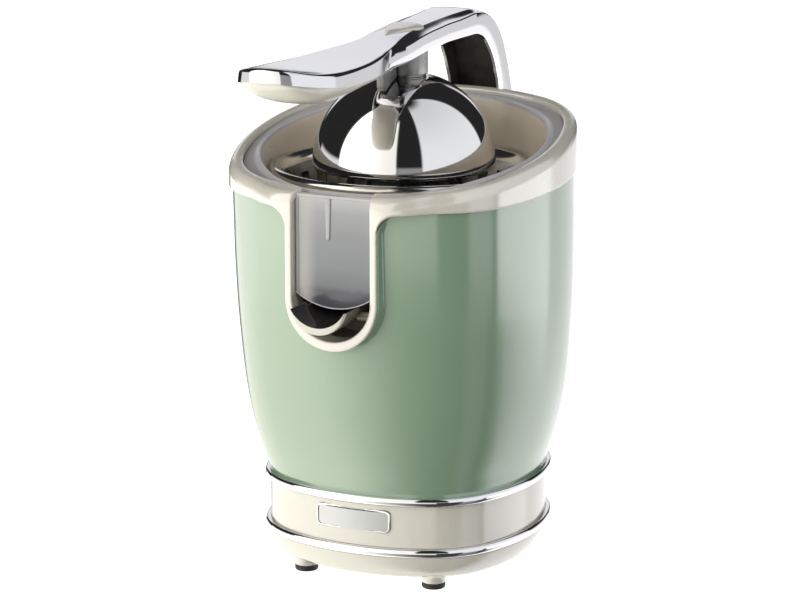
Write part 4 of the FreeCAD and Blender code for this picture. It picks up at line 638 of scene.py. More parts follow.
s_slot = s_of_x(22.9, OUT_A)
s_cols = np.concatenate([np.linspace(s_slot, s_of_x(26.6, OUT_A), 8)[:-1], np.linspace(s_of_x(26.6, OUT_A), s_of_x(40.0, OUT_A), 30)[:-1], np.linspace(s_of_x(40.0, OUT_A), 2 * QUAD, 150)])
cols = []
for s in s_cols:
    ox, oy = [float(q) for q in plan(s, OUT_A)]
    # unit direction from the outer wall to the rim, and the depth between the two
    rx, ry = [float(q) for q in plan(s, RIM_A)]
    oy2 = oy + (float(front_bulge(np.array([ox]))[0]) if oy < -50 else 0.0)
    depth = math.hypot(ox - rx, oy2 - ry)
    ux, uy = (rx - ox) / depth, (ry - oy2) / depth
    if ox < 26.7 and oy < 0:
        low = 206.4
    elif ox < 37.4 and oy < 0:
        low = 206.2 + math.sqrt(max(0.0, 10.8 ** 2 - (37.4 - ox) ** 2))
    else:
        low = 221.0 + 0.056 * oy2 + (1.15 * (1 - float(smooth((ox - 52.0) / 30.0))) if oy < 0 else 0.0)
    low = max(low, 206.4) if ox < 37.4 and oy < 0 else low

    def at(d, z):
        return (ox + ux * d, oy2 + uy * d, z)

    def crest(d):
        return CREST + LEAN * (oy2 + uy * d)
    R, Rz = 4.6, 5.6
    sec = [at(0.45, low), at(0.12, low + 0.15), at(0.0, low + 0.6)]
    zt = crest(0.0) - Rz
    for t in np.linspace(0, 1, 6)[1:]:
        sec.append(at(0.0, low + 0.6 + (zt - low - 0.6) * t))
    for t in np.radians(np.linspace(0, 90, 12))[1:]:
        sec.append(at(R * (1 - math.cos(t)), 0) [:2] + (crest(R * (1 - math.cos(t))) - Rz + Rz * math.sin(t),))
    din = depth - 0.9
    for t in np.linspace(0, 1, 4)[1:]:
        d = R + (din - R) * t
        sec.append(at(d, 0)[:2] + (crest(d) - 0.25 * t,))
    for t in np.radians([30, 60, 90]):
        d = din + 0.9 * math.sin(t)
        sec.append(at(d, 0)[:2] + (crest(d) - 0.25 - 0.9 * (1 - math.cos(t)),))
    d = depth
    sec.append(at(d, crest(d) - 2.2))
    sec.append(at(d, crest(d) - 8.0))
    sec.append(at(d - 2.2, crest(d) - 8.0))
    sec.append(at(d - 2.2, crest(d) - 3.2))
    sec.append(at(1.7, crest(1.7) - 6.0))
    sec.append(at(1.7, low))
    cols.append(sec)
cols = np.array(cols)
b = Build()
b.grid(cols, closed_v=True)
b.cap(cols[0])
b.mirror()
# the U of the frame, run up into the collar
path = []
for t in np.radians(np.linspace(0, 90, 40)):
    path.append((22.9 * math.sin(t), 169.6 - 22.9 * math.cos(t), 26.6 * math.sin(t), 168.0 - 26.6 * math.cos(t)))
for z in np.linspace(169.6, 221.5, 30)[1:]:
    path.append((22.9, z, 26.6, z))
ugrid = []
for xi, zi, xo, zo in path:
    n = math.hypot(xo - xi, zo - zi)
    ux, uz = (xo - xi) / n, (zo - zi) / n
    zm = (zi + zo) / 2
    r = 0.6
    YF, YR = -93.9, -91.75
    sec = [(xi, -80.0, zi), (xi, YF + r, zi)]
    for t in np.radians([22.5, 45, 67.5, 90]):
        sec.append((xi + ux * r * (1 - math.cos(t)), YF + r * (1 - math.sin(t)), zi + uz * r * (1 - math.cos(t))))
    for t in (0.33, 0.66):
        sec.append((xi + (xo - xi) * t, YF, zi + (zo - zi) * t))
    for t in np.radians([90, 67.5, 45, 22.5, 0]):
        sec.append((xo - ux * r * (1 - math.cos(t)), YF + r * (1 - math.sin(t)), zo - uz * r * (1 - math.cos(t))))
    sec.append((xo, YR - 0.5, zo))
    sec.append((xo - ux * 0.5, YR, zo - uz * 0.5))
    sec.append((xi + ux * 2.2, YR, zi + uz * 2.2))
    sec.append((xi + ux * 2.2, -80.0, zi + uz * 2.2))
    ugrid.append(sec)
ugrid = np.array(ugrid)
b2 = Build()
b2.grid(ugrid, closed_v=True)
b2.cap(ugrid[-1])
b2.mirror()
rough = mesh_object("collar_rough", b.v, b.f, [CREAM_TOP], None, 35)
rough2 = mesh_object("frame_rough", b2.v, b2.f, [CREAM_TOP], None, 35)


def fuse_remesh(name, parts, voxel, passes):
    """Joins closed pieces into one skin whose edges are softly rounded."""
    bm = bmesh.new()
    for p in parts:
        bm.from_mesh(p.data)
    me = bpy.data.meshes.new(name)
    bm.to_mesh(me)
    bm.free()
    ob = bpy.data.objects.new(name, me)
    SC.collection.objects.link(ob)
    md = ob.modifiers.new("remesh", "REMESH")
    md.mode = "VOXEL"
    md.voxel_size = voxel
    dg = bpy.context.evaluated_depsgraph_get()
    new = bpy.data.meshes.new_from_object(ob.evaluated_get(dg))
    ob.modifiers.clear()
    ob.data = new
    for p in parts:
        bpy.data.objects.remove(p)
    return ob


collar = fuse_remesh("collar_skin", [rough, rough2], 0.00055, 0)
me = collar.data
nv = len(me.vertices)
co = np.empty(nv * 3)
me.vertices.foreach_get("co", co)
co = co.reshape(-1, 3)
ed = np.empty(len(me.edges) * 2, dtype=np.int64)
me.edges.foreach_get("vertices", ed)
ed = ed.reshape(-1, 2)
cnt = np.zeros(nv)
np.add.at(cnt, ed[:, 0], 1)
np.add.at(cnt, ed[:, 1], 1)
for it in range(6):
    acc = np.zeros_like(co)
    np.add.at(acc, ed[:, 0], co[ed[:, 1]])
    np.add.at(acc, ed[:, 1], co[ed[:, 0]])
    lap = acc / cnt[:, None] - co
    co = co + lap * (0.5 if it % 2 == 0 else -0.52)
me.vertices.foreach_set("co", co.ravel())
me.update()
me.materials.clear()
me.materials.append(CREAM_TOP)
me.shade_smooth()
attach(collar, "root")
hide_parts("collar")

# ---------------------------------------------------------------- bowl
def radial(a, n=288, yc=0.0):
    """Radius of the plan outline by direction."""
    x, y = plan(np.linspace(0, 4 * QUAD, 2881)[:-1], a, yc)
    ang = np.unwrap(np.arctan2(y, x))
    r = np.hypot(x, y)
    t = np.arange(n) * 2 * math.pi / n
    base = ang[0]
    tt = base + np.mod(t - base, 2 * math.pi)
    return np.interp(tt, np.append(ang, ang[0] + 2 * math.pi), np.append(r, r[0]))


NT = 288
TH = np.arange(NT) * 2 * math.pi / NT
CT, ST = np.cos(TH), np.sin(TH)
FL = 239.3


def ring_pts(r, z):
    r = np.broadcast_to(r, (NT,))
    y = r * ST
    return np.stack([r * CT, y, z(y) if callable(z) else np.broadcast_to(z, (NT,))], 1)


outer_r = radial(RIM_A - 0.25)
plane = lambda dz: (lambda y: FL + dz + LEAN * y - 1.25 * smooth((-np.asarray(y) - 36.0) / 40.0))
prof = []
prof.append(ring_pts(outer_r, plane(-2.0)))
prof.append(ring_pts(outer_r, plane(-0.3)))
prof.append(ring_pts(outer_r - 0.3, plane(0.0)))
for f in (0.25, 0.5, 0.75):
    prof.append(ring_pts(outer_r - 0.3 + (80.6 - outer_r + 0.3) * f, plane(-0.25 * math.sin(f * math.pi))))
n_fl = len(prof) - 1
for r, dz in ((80.4, 0.02), (80.1, 0.22), (79.8, 0.38), (79.4, 0.45), (79.0, 0.36), (78.7, 0.1), (78.5, -0.3), (78.3, -0.9)):
    prof.append(ring_pts(r, plane(dz)))
n_lip = len(prof) - 1
lower = 222.6
for f in np.linspace(0.06, 1, 12):
    top = plane(-0.9)(78.3 * ST)
    z = top + (lower + 1.2 - top) * f
    r = 78.3 + (75.2 - 78.3) * f ** 0.9
    prof.append(np.stack([r * CT, r * ST, z], 1))
prof.append(ring_pts(74.9, lower + 0.5))
prof.append(ring_pts(74.2, lower + 0.1))
prof.append(ring_pts(73.0, lower))
prof.append(ring_pts(69.6, lower))
prof.append(ring_pts(69.2, lower - 1.0))
prof.append(ring_pts(66.7, 178.3))
n_in = len(prof) - 1
prof.append(ring_pts(66.0, 176.2))
prof.append(ring_pts(68.6, 176.0))
prof.append(ring_pts(71.7, 220.0))
prof.append(ring_pts(76.6, 220.6))
for f in np.linspace(0.1, 1, 8):
    top = plane(-2.0)(80.6 * ST)
    z = 220.6 + (top - 220.6) * f
    r = 76.6 + (80.6 - 76.6) * f
    prof.append(np.stack([r * CT, r * ST, z], 1))
# the lip bead takes the lighter smoke: a painted highlight along the bowl's edge
b = Build()
n = len(prof)
for i in range(n):
    m = 0 if i < n_fl else (1 if i < n_lip else (2 if i < n_in else 0))
    b.grid([prof[i], prof[(i + 1) % n]], closed_v=True, mat=m)
# floor and tube
fl = [ring_pts(66.6, 178.3), ring_pts(40.0, 178.0), ring_pts(14.0, 178.0), ring_pts(14.0, 200.5), ring_pts(13.5, 201.0), ring_pts(12.5, 201.0), ring_pts(12.0, 200.5), ring_pts(12.0, 176.0), ring_pts(40.0, 176.0), ring_pts(66.2, 176.2)]
for i in range(len(fl) - 1):
    b.grid([fl[i], fl[i + 1]], closed_v=True, mat=2)
b.grid([fl[-1], fl[0]], closed_v=True, mat=2)
b.make("bowl", [SMOKE, SMOKE_PAINTED_HIGHLIGHT, BOWL], slot="smoke_plastic", replaces=("juice_bowl",), angle=40)

# chute with the smoky window
b = Build()
xw = 22.5


def win_low(x):
    return 163.6 + 38.3 - np.sqrt(38.3 ** 2 - np.asarray(x) ** 2)


xs = np.linspace(-xw, xw, 49)
ztop = 225.0
rowsf = []


def win_y(x, z):
    return -88.5 + 0.0 * x


def panel(y, mat, x0, x1, z_lo, z_hi, nx=33, nz=30):
    g = []
    X = np.linspace(x0, x1, nx)
    for t in np.linspace(0, 1, nz):
        lo = z_lo(X) if callable(z_lo) else np.full(nx, z_lo)
        g.append(np.stack([X, np.full(nx, y) if not callable(y) else y(X), lo + (z_hi - lo) * t], 1))
    return g


# one closed slab with rounded front edges
def slab(b, x0, x1, zlo, zhi, yf, yb, r=0.5, mat=0, nx=33):
    X = np.linspace(x0, x1, nx)
    def outline(ins):
        lo = (zlo(X) if callable(zlo) else np.full(nx, zlo)) + ins
        Xi = X.copy(); Xi[0] += ins; Xi[-1] -= ins
        bot = np.stack([Xi, np.zeros(nx), lo], 1)
        rt = [(x1 - ins, 0, lo[-1] + (zhi - ins - lo[-1]) * t) for t in np.linspace(0, 1, 12)[1:-1]]
        top = np.stack([Xi[::-1], np.zeros(nx), np.full(nx, zhi - ins)], 1)
        lf = [(x0 + ins, 0, zhi - ins + (lo[0] - zhi + ins) * t) for t in np.linspace(0, 1, 12)[1:-1]]
        return np.vstack([bot, rt, top, lf])
    o0, o1, o2 = outline(0.0), outline(r * 0.3), outline(r)
    def put(o, y):
        q = o.copy(); q[:, 1] = y
        return q
    L = [put(o0, yb), put(o0, yf + r), put(o1, yf + r * 0.3), put(o2, yf)]
    for i in range(3):
        b.grid([L[i], L[i + 1]], closed_v=True, mat=mat)
    # front and back faces as grids
    for q, yy in ((r, yf), (0.0, yb)):
        lo = (zlo(X) if callable(zlo) else np.full(nx, zlo)) + q
        Xi = X.copy(); Xi[0] += q; Xi[-1] -= q
        g = [np.stack([Xi, np.full(nx, yy), lo + (zhi - q - lo) * t], 1) for t in np.linspace(0, 1, 12)]
        b.grid(g, mat=mat)
    return b


slab(b, -xw, xw, win_low, 224.0, -88.5, -86.4, 0.5, 0)
# lip along the top, the border strips and the tapered rib
slab(b, -xw, xw, 222.6, 224.4, -88.9, -86.0, 0.5, 0)
slab(b, -22.6, -20.6, lambda X: win_low(X) + 0.2, 222.0, -88.9, -60.0, 0.4, 0, nx=7)
slab(b, 20.8, 22.6, lambda X: win_low(X) + 0.2, 222.0, -88.9, -60.0, 0.4, 0, nx=7)
rib = [(-5.4, 222.8), (-1.8, 222.8), (-2.45, 201.6), (-2.8, 200.6), (-3.9, 200.4), (-4.5, 201.2)]
for ys, sc in (((-88.5, -89.25), 1.0),):
    cen = np.mean(rib, axis=0)
    l0 = np.array([(x, -88.4, z) for x, z in rib])
    l1 = np.array([(x, -89.0, z) for x, z in rib])
    l2 = np.array([(cen[0] + (x - cen[0]) * 0.75, -89.25, z + (0.3 if z < 210 else 0)) for x, z in rib])
    b.grid([l0, l1, l2], closed_v=True, mat=2)
    b.cap(l2, 2)
    b.cap(l0, 2)
# painted highlight: a thin bead in the lighter smoke along the lower arc
edge = []
for x in np.linspace(-xw, xw, 49):
    z = float(win_low(x))
    edge.append([(x, -88.7 + 0.35 * math.cos(t), z + 0.25 + 0.35 * math.sin(t)) for t in np.radians(np.arange(0, 360, 45))])
b.grid(edge, closed_v=True, mat=1)
b.cap(edge[0], 1)
b.cap(edge[-1], 1)
b.make("chute_window", [WINDOW, SMOKE_PAINTED_HIGHLIGHT, RIB], slot="smoke_plastic")
# painted reflection and shade: the window is darkened towards its bottom, standing for a dark reflection, and lightened
# along its left side (x below -19.5 mm), standing for light there
paint_light_by_height(WINDOW, [(0.1705, lin(84, 85, 92)), (0.1735, lin(112, 114, 118)), (0.184, lin(130, 132, 137)), (0.200, lin(139, 141, 145)), (0.213, lin(158, 159, 162)), (0.224, lin(196, 196, 196))])
paint_light_by_side(WINDOW, -0.0195, -0.009, lin(200, 197, 192), 0.62)

# ---------------------------------------------------------------- filter
b = Build()
prof = [(66.2, 221.6), (66.7, 223.2), (67.5, 224.8), (68.6, 226.3), (69.6, 227.2), (70.7, 227.7), (71.9, 227.65), (73.0, 227.1), (73.8, 226.1), (74.0, 225.0), (73.9, 223.0), (73.4, 222.7), (73.0, 223.2), (72.9, 225.1), (72.2, 226.3), (71.0, 226.8), (69.9, 226.2), (68.5, 224.2), (67.6, 221.4)]
NF = 28 * 12
th = np.arange(NF) * 2 * math.pi / NF


def fring(r, z):
    return np.stack([r * np.cos(th), r * np.sin(th), np.full(NF, float(z))], 1)


for i in range(len(prof) - 1):
    b.grid([fring(*prof[i]), fring(*prof[i + 1])], closed_v=True)
# wall with upright slots, in the darker wall steel: painted shade inside the basket
zz = [221.6, 220.0, 217.5, 216.2, 214.5, 205.0, 198.5, 196.8, 195.5, 193.6]
rad = lambda z, inn: (66.2 - (221.6 - z) * (66.2 - 60.6) / 28.0) + (0 if inn else 1.0)
gin = [fring(rad(z, True), z) for z in zz]
gout = [fring(rad(z, False), z - (0.4 if z == 221.6 else 0)) for z in zz]
slotcol = lambda j: (j % 12) in (3, 4, 5, 6, 7, 8)
k1, k2 = b.add(np.array(gin)), b.add(np.array(gout))
for i in range(len(zz) - 1):
    for j in range(NF):
        hole = slotcol(j) and 3 <= i <= 6
        j2 = (j + 1) % NF
        if not hole:
            b.f.append((k1 + i * NF + j, k1 + (i + 1) * NF + j, k1 + (i + 1) * NF + j2, k1 + i * NF + j2)); b.m.append(1)
            b.f.append((k2 + i * NF + j, k2 + i * NF + j2, k2 + (i + 1) * NF + j2, k2 + (i + 1) * NF + j)); b.m.append(1)
        else:
            if i == 3:
                b.f.append((k1 + i * NF + j, k1 + i * NF + j2, k2 + i * NF + j2, k2 + i * NF + j)); b.m.append(1)
            if i == 6:
                b.f.append((k1 + (i + 1) * NF + j, k2 + (i + 1) * NF + j, k2 + (i + 1) * NF + j2, k1 + (i + 1) * NF + j2)); b.m.append(1)
            if not slotcol(j - 1):
                b.f.append((k1 + i * NF + j, k2 + i * NF + j, k2 + (i + 1) * NF + j, k1 + (i + 1) * NF + j)); b.m.append(1)
            if not slotcol(j + 1):
                b.f.append((k1 + i * NF + j2, k1 + (i + 1) * NF + j2, k2 + (i + 1) * NF + j2, k2 + i * NF + j2)); b.m.append(1)
b.grid([fring(67.6, 221.4), fring(rad(221.6, False), 221.2)], closed_v=True)
fl = [(60.6, 193.6), (60.2, 193.3), (59.0, 193.2), (17.0, 193.2), (16.2, 193.8), (16.1, 201.0), (15.8, 201.5), (15.2, 201.5), (15.0, 201.0), (15.0, 192.4), (60.5, 192.2), (61.6, 193.0), (61.6, 193.6)]
for i in range(len(fl) - 1):
    b.grid([fring(*fl[i]), fring(*fl[i + 1])], closed_v=True)
b.make("filter", [STEEL, STEEL_WALL_PAINTED_SHADE], slot="polished_steel", replaces=("filter_basket",), angle=32)

# ---------------------------------------------------------------- press spring; the real one shortens as the carriage sinks, here a fixed coil with a mesh of its own
b = Build()
coil = []
for k in range(97):
    a_ = 2 * math.pi * k / 48
    coil.append([((9.0 + 0.5 * math.cos(q)) * math.cos(a_), (9.0 + 0.5 * math.cos(q)) * math.sin(a_), 154.2 + 2.1 * k / 48 + 0.5 * math.sin(q)) for q in np.radians(np.arange(0, 360, 30))])
b.grid(coil, closed_v=True)
b.cap(coil[0][::-1])
b.cap(coil[-1])
spring = b.make("press_spring", [TURNED], slot="steel_bright", replaces=("return_spring",), angle=50)
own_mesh(spring)

# ---------------------------------------------------------------- dome, hub
b = Build()
prof = []
RO, RI, ZC = 50.4, 49.0, 228.0
for t in np.radians(np.linspace(0, 86.5, 64)):
    prof.append((RO * math.cos(t), ZC + RO * math.sin(t)))
prof = [(r, z - 1.5 * (1 - float(smooth(r / 24.0)))) for r, z in prof]
prof.reverse()
prof += [(50.4, 226.9), (50.25, 226.5), (49.8, 226.35), (49.3, 226.5), (49.05, 227.0)]
for t in np.radians(np.linspace(1.5, 86.3, 40)):
    r_i = RI * math.cos(t)
    prof.append((r_i, ZC + RI * math.sin(t) - 1.5 * (1 - float(smooth(r_i / 24.0)))))
prof = [(r, max(z, 226.35)) for r, z in prof]
NR = 192
th2 = np.arange(NR) * 2 * math.pi / NR
cr = lambda r, z: np.stack([r * np.cos(th2), r * np.sin(th2), np.full(NR, float(z))], 1)
n = len(prof)
for i in range(n):
    b.grid([cr(*prof[i]), cr(*prof[(i + 1) % n])], closed_v=True)
b.make("press_dome", [DOME], body="arm_assembly", slot="polished_steel", replaces=("dome",), angle=60)

b = Build()
prof = [(3.1, 276.2), (11.6, 276.2), (12.0, 276.4), (12.15, 276.9), (12.2, 277.25), (12.7, 277.3), (12.95, 277.55), (13.0, 278.0), (13.0, 282.0), (13.0, 286.0), (13.0, 289.4), (11.0, 289.5), (3.1, 289.5)]
n = len(prof)
for i in range(n):
    b.grid([cr(*prof[i]), cr(*prof[(i + 1) % n])], closed_v=True)
b.make("hub_cast", [CAST_HUB_PAINTED_SHADE], body="arm_assembly", slot="polished_arm", replaces=("hub",), angle=40)

# ---------------------------------------------------------------- arm
w_tab = pchip([-127.5, -115.0, -95.0, -70.0, -50.0, -30.0, -15.0, 0.0, 12.0, 40.0, 56.0, 66.0, 76.0, 84.0, 130.0], [25.4, 24.9, 22.9, 19.4, 15.2, 11.6, 9.7, 8.9, 9.1, 10.0, 11.4, 12.8, 14.0, 14.6, 15.0])
zt_tab = pchip([-168.6, -162.0, -155.0, -145.0, -135.0, -115.0, -90.0, -65.0, -40.0, -15.0, 20.0, 60.0], [302.4, 300.8, 299.4, 298.3, 297.7, 297.1, 296.8, 297.6, 298.9, 301.4, 303.6, 305.2])
zl_tab = pchip([-168.6, -162.0, -155.0, -135.0, -115.0, -90.0, -65.0, -40.0, -15.0, -1.0, 12.0, 26.0, 60.0], [295.6, 294.2, 293.0, 290.1, 288.5, 287.9, 287.5, 287.4, 289.6, 291.0, 291.4, 292.1, 291.7])
zc_tab = pchip([-64.0, -60.0, -54.0, -47.0, -36.5, -22.5, -14.0, -1.0, 12.0, 26.0, 39.0, 60.0], [287.6, 288.4, 291.6, 294.6, 296.5, 298.0, 299.2, 300.5, 301.3, 302.0, 302.2, 303.2])


def w_of(y):
    y = np.asarray(y, float)
    tip = 25.4 * np.maximum(0.0, 1 - (np.maximum(0.0, -127.5 - y) / 40.8) ** 2.4) ** (1 / 2.4)
    return np.where(y < -127.5, tip, w_tab(y))


def xd_of(y):
    return np.where(y < -62.0, w_of(y), np.maximum(w_of(y), 16.0 - 0.0 * y) * 1.0) if False else np.where(np.asarray(y) < -62.0, w_of(y), np.maximum(w_of(y), 16.0 + 1.6 * (1 - smooth((np.asarray(y) + 62.0) / 12.0))))


out_pts = []
for t in np.radians(np.linspace(0, 90, 44)):
    out_pts.append((25.4 * math.sin(t) ** (2 / 2.4), -127.5 - 40.8 * math.cos(t) ** (2 / 2.4)))
out_pts = out_pts[:-1]
for y in np.concatenate([np.arange(-127.5, -66, 2.5), np.arange(-66, -20, 1.5), np.arange(-20, 60.1, 2.5)]):
    out_pts.append((float(w_of(y)), float(y)))
out_pts = np.array(out_pts)
tan = np.gradient(out_pts, axis=0)
tan[0] = (1, 0)
nrm = np.stack([tan[:, 1], -tan[:, 0]], 1)
nrm /= np.linalg.norm(nrm, axis=1)[:, None]
nrm[0] = (0, -1)

arm_cols = []
for (ox, oy), (nx, ny) in zip(out_pts, nrm):
    zt, zl = float(zt_tab(oy)), float(zl_tab(oy))
    k_bar = float(smooth((oy + 66.0) / 14.0))       # 0 on the paddle, 1 on the bar
    rt = 2.2 * (1 - k_bar) + 0.8 * k_bar
    sy = oy if oy > -138 else -138 - (-138 - oy) * 0.45
    sec = []
    bx, by = ox - nx * rt, oy - ny * rt
    sp = np.array([0.0, sy])
    for t in np.linspace(0, 1, 12):
        p = sp + (np.array([bx, by]) - sp) * t
        wy = float(w_of(max(p[1], -127.5)))
        crown = 0.45 * (1 - (p[0] / wy) ** 2)
        sec.append((p[0], p[1], float(zt_tab(p[1])) * (1 - t ** 4) + zt * t ** 4 + crown))
    ztb = sec[-1][2]
    # slope or side wall below the edge
    if oy < -62:
        cx_, zc = ox, zl
        xd = ox
    else:
        cx_ = float(xd_of(oy))
        zc = float(zc_tab(oy))
        xd = cx_
    # direction of the face under the edge, in the (outward, down) plane
    run_, drop = xd - ox, ztb - zc
    ang = math.atan2(drop, run_) if oy >= -62 else math.pi / 2
    # rounding from level to that direction
    steps = np.linspace(0, ang, 6)[1:]
    for q in steps:
        sec.append((bx + nx * rt * math.sin(q), by + ny * rt * math.sin(q), ztb - rt + rt * math.cos(q)))
    last = np.array(sec[-1])
    if oy < -62:
        endp = np.array([ox, oy, zl])
        mids, tail = [], []
        for t in np.linspace(0, 1, 9)[1:]:
            p = last + (endp - last) * t
            bul = 0.50 * t * min(1.0, max(0.0, 168.4 + oy) / 8.0) * (1 - float(smooth((oy + 110.0) / 46.0)))
            mids.append((p[0] + nx * bul, p[1] + ny * bul, p[2]))
        sec += mids
        sec.append((ox + nx * (bul - 0.35), oy + ny * (bul - 0.35), zl - 0.12))
    else:
        cpt = np.array([xd, oy, zc])
        m1, m2 = [], []
        slope = max(0.4, math.hypot(xd - last[0], last[2] - zc))
        for t in (0.25, 0.5, 0.75):
            p = last + (cpt - last) * t
            dip = 0.35 * math.sin(math.pi * t) * k_bar
            m1.append((p[0], p[1], p[2] - dip))
        back_off = min(0.5, slope * 0.3)
        p = last + (cpt - last) * (1 - back_off / slope)
        m1.append(tuple(p))
        down = min(0.5, max(0.02, (zc - zl) * 0.3))
        m1.append((xd, oy, zc - down))
        for t in (0.5, 1.0):
            m2.append((xd, oy, (zc - down) + (zl + 0.4 - zc + down) * t))
        m2.append((xd - 0.12, oy, zl + 0.12))
        sec += m1 + m2
        sec.append((xd - 0.5, oy, zl))
    arm_cols.append(sec)
lens_ = {len(s) for s in arm_cols}
assert len(lens_) == 1, lens_

# leg: outer and inner curves in the middle plane
leg_o = [(60.0, 305.2), (64.0, 305.05), (68.0, 304.6), (72.0, 303.85), (76.0, 302.7), (80.0, 301.2), (84.0, 299.3), (88.0, 297.0), (91.6, 294.4), (94.8, 291.6), (98.0, 288.2), (101.0, 284.4), (104.0, 279.6), (107.0, 273.4), (110.4, 266.0), (112.8, 259.2), (115.2, 253.1), (118.0, 245.5)]
leg_i = [(60.0, 291.75), (62.5, 291.6), (65.0, 291.2), (68.0, 290.5), (71.0, 289.6), (73.5, 288.5), (76.0, 287.0), (78.5, 285.0), (80.6, 282.9), (83.0, 280.5), (85.2, 278.0), (87.6, 275.0), (89.8, 271.4), (92.0, 266.9), (94.2, 262.0), (95.7, 257.3), (96.4, 250.5), (97.0, 243.5)]
cy, cz, cr_ = 109.0, 232.0, 12.0
for a_o, a_i in ((38, 152), (20, 168), (5, 180), (-15, 195), (-32, 212), (-48, 228), (-63, 243), (-76, 256), (-86, 266)):
    leg_o.append((cy + cr_ * math.cos(math.radians(a_o)), cz + cr_ * math.sin(math.radians(a_o))))
    leg_i.append((cy + cr_ * math.cos(math.radians(a_i)), cz + cr_ * math.sin(math.radians(a_i))))
leg_cols, chan = [], []
n_out = len(arm_cols[0])
for i, ((yo, zo), (yi, zi)) in enumerate(zip(leg_o, leg_i)):
    L_ = math.hypot(yo - yi, zo - zi)
    dy, dz = (yi - yo) / L_, (zi - zo) / L_           # outer to inner
    wy = float(w_tab(60.0 + i * 4.0)) if i < 8 else 15.0
    edge_drop = 0.55 + 1.45 * (1 - float(smooth(i / 8.0)))
    wy = min(wy, 15.1)
    sec = []
    rt = 0.8
    for t in np.linspace(0, 1, 12):
        x = (wy - rt) * t
        crown = 0.45 * (1 - t * t)
        sec.append((x, yo - dy * crown, zo - dz * crown))
    ang = math.atan2(edge_drop, 16.0 - wy)
    for q in np.linspace(0, ang, 6)[1:]:
        d = rt * (1 - math.cos(q))
        sec.append((wy - rt + rt * math.sin(q), yo + dy * d, zo + dz * d))
    x0 = sec[-1][0]
    d0 = rt * (1 - math.cos(ang))
    for t in (0.25, 0.5, 0.75, 0.93):
        x = x0 + (16.0 - x0) * t
        d = d0 + (edge_drop - d0) * t
        sec.append((x, yo + dy * d, zo + dz * d))
    sec.append((16.0, yo + dy * (edge_drop + 0.4), zo + dz * (edge_drop + 0.4)))
    for t in (0.5, 1.0):
        d = edge_drop + 0.4 + (L_ - 0.4 - edge_drop - 0.4) * t
        sec.append((16.0, yo + dy * d, zo + dz * d))
    sec.append((15.88, yo + dy * (L_ - 0.12), zo + dz * (L_ - 0.12)))
    sec.append((15.5, yi, zi))
    assert len(sec) == n_out, (len(sec), n_out)
    leg_cols.append(sec)
full = np.array(arm_cols + leg_cols[1:])
b = Build()
b.grid(full)
b.cap([tuple(p) for p in full[-1]] + [(0.0, full[-1][-1][1], full[-1][-1][2])])
# underside of paddle and bar
na = len(arm_cols)
under = []
for sec in arm_cols:
    e = np.array(sec[-1])
    s0 = np.array(sec[0])
    under.append([e + (np.array([0.0, s0[1], e[2]]) - e) * t for t in (0, 0.25, 0.5, 0.75, 1.0)])
b.grid(under)
# channel in the leg; its floor and walls take the dark channel material, painted shade
def chan_pts(i):
    (yo, zo), (yi, zi) = leg_o[i], leg_i[i]
    L_ = math.hypot(yo - yi, zo - zi)
    dy, dz = (yi - yo) / L_, (zi - zo) / L_
    D = 3.0
    return [(15.5, yi, zi), (14.3, yi, zi), (14.05, yi - dy * 0.3, zi - dz * 0.3), (14.0, yo + dy * (D + 1.2), zo + dz * (D + 1.2)),
            (13.6, yo + dy * (D + 0.4), zo + dz * (D + 0.4)), (12.8, yo + dy * D, zo + dz * D), (6.0, yo + dy * D, zo + dz * D), (0.0, yo + dy * D, zo + dz * D)]


c0, c1 = 3, 17
ch = [chan_pts(i) for i in range(c0, c1 + 1)]
b.grid([c[:3] for c in ch])
b.grid([c[2:] for c in ch], mat=1)
b.cap([ch[0][k] for k in range(1, 8)] + [(0.0, leg_i[c0][0], leg_i[c0][1])], mat=1)
b.cap([ch[-1][k] for k in range(1, 8)] + [(0.0, leg_i[c1][0], leg_i[c1][1])], mat=1)
solid_i = list(range(0, c0 + 1))
b.grid([[(x, leg_i[i][0], leg_i[i][1]) for x in (15.5, 14.3, 7.0, 0.0)] for i in solid_i])
b.grid([[(x, leg_i[i][0], leg_i[i][1]) for x in (15.5, 14.3, 7.0, 0.0)] for i in range(c1, len(leg_i))])
b.mirror()
b.make("press_arm", [ARM, CHANNEL_PAINTED_SHADE], body="arm_assembly", slot="polished_arm", replaces=("arm",), angle=30)

# grip under the paddle
deep = pchip([-166.6, -164.0, -158.0, -150.0, -145.0, -130.0, -110.0, -90.0, -70.0, -50.0, -36.0], [0.7, 2.2, 4.3, 7.0, 8.4, 9.8, 7.6, 6.0, 5.1, 4.3, 3.0])
g_cols = []
ys = np.concatenate([-166.9 + 6.0 * (np.linspace(0, 1, 12)[:-1]) ** 2, np.arange(-160.9, -38, 2.2), [-37.0]])
for y in ys:
    w = max(0.15, float(w_of(y)) - 1.0) if y < -60 else max(float(w_of(y)) - 1.0, 14.2)
    if y > -44:
        w *= 1 - 0.5 * smooth((y + 44) / 7.0)
    d, zl = float(deep(y)), float(zl_tab(y))
    sec = [(w * 0.985, y, zl + 0.5), (w, y, zl - 0.1)]
    for k in np.radians(np.linspace(6, 90, 16)):
        sec.append((w * math.cos(k) ** 0.85, y, zl - 0.1 - d * math.sin(k) ** 0.95))
    g_cols.append(sec)
b = Build()
b.grid(g_cols)
b.grid([[s[0], (0.0, s[0][1], s[0][2])] for s in g_cols])
b.cap(g_cols[0] + [(0.0, g_cols[0][0][1], g_cols[0][0][2])])
b.cap(g_cols[-1] + [(0.0, g_cols[-1][0][1], g_cols[-1][0][2])])
b.mirror()
b.make("grip", [CREAM_SOFT], body="arm_assembly", slot="cream_shell", replaces=("grip_underside",), angle=40)

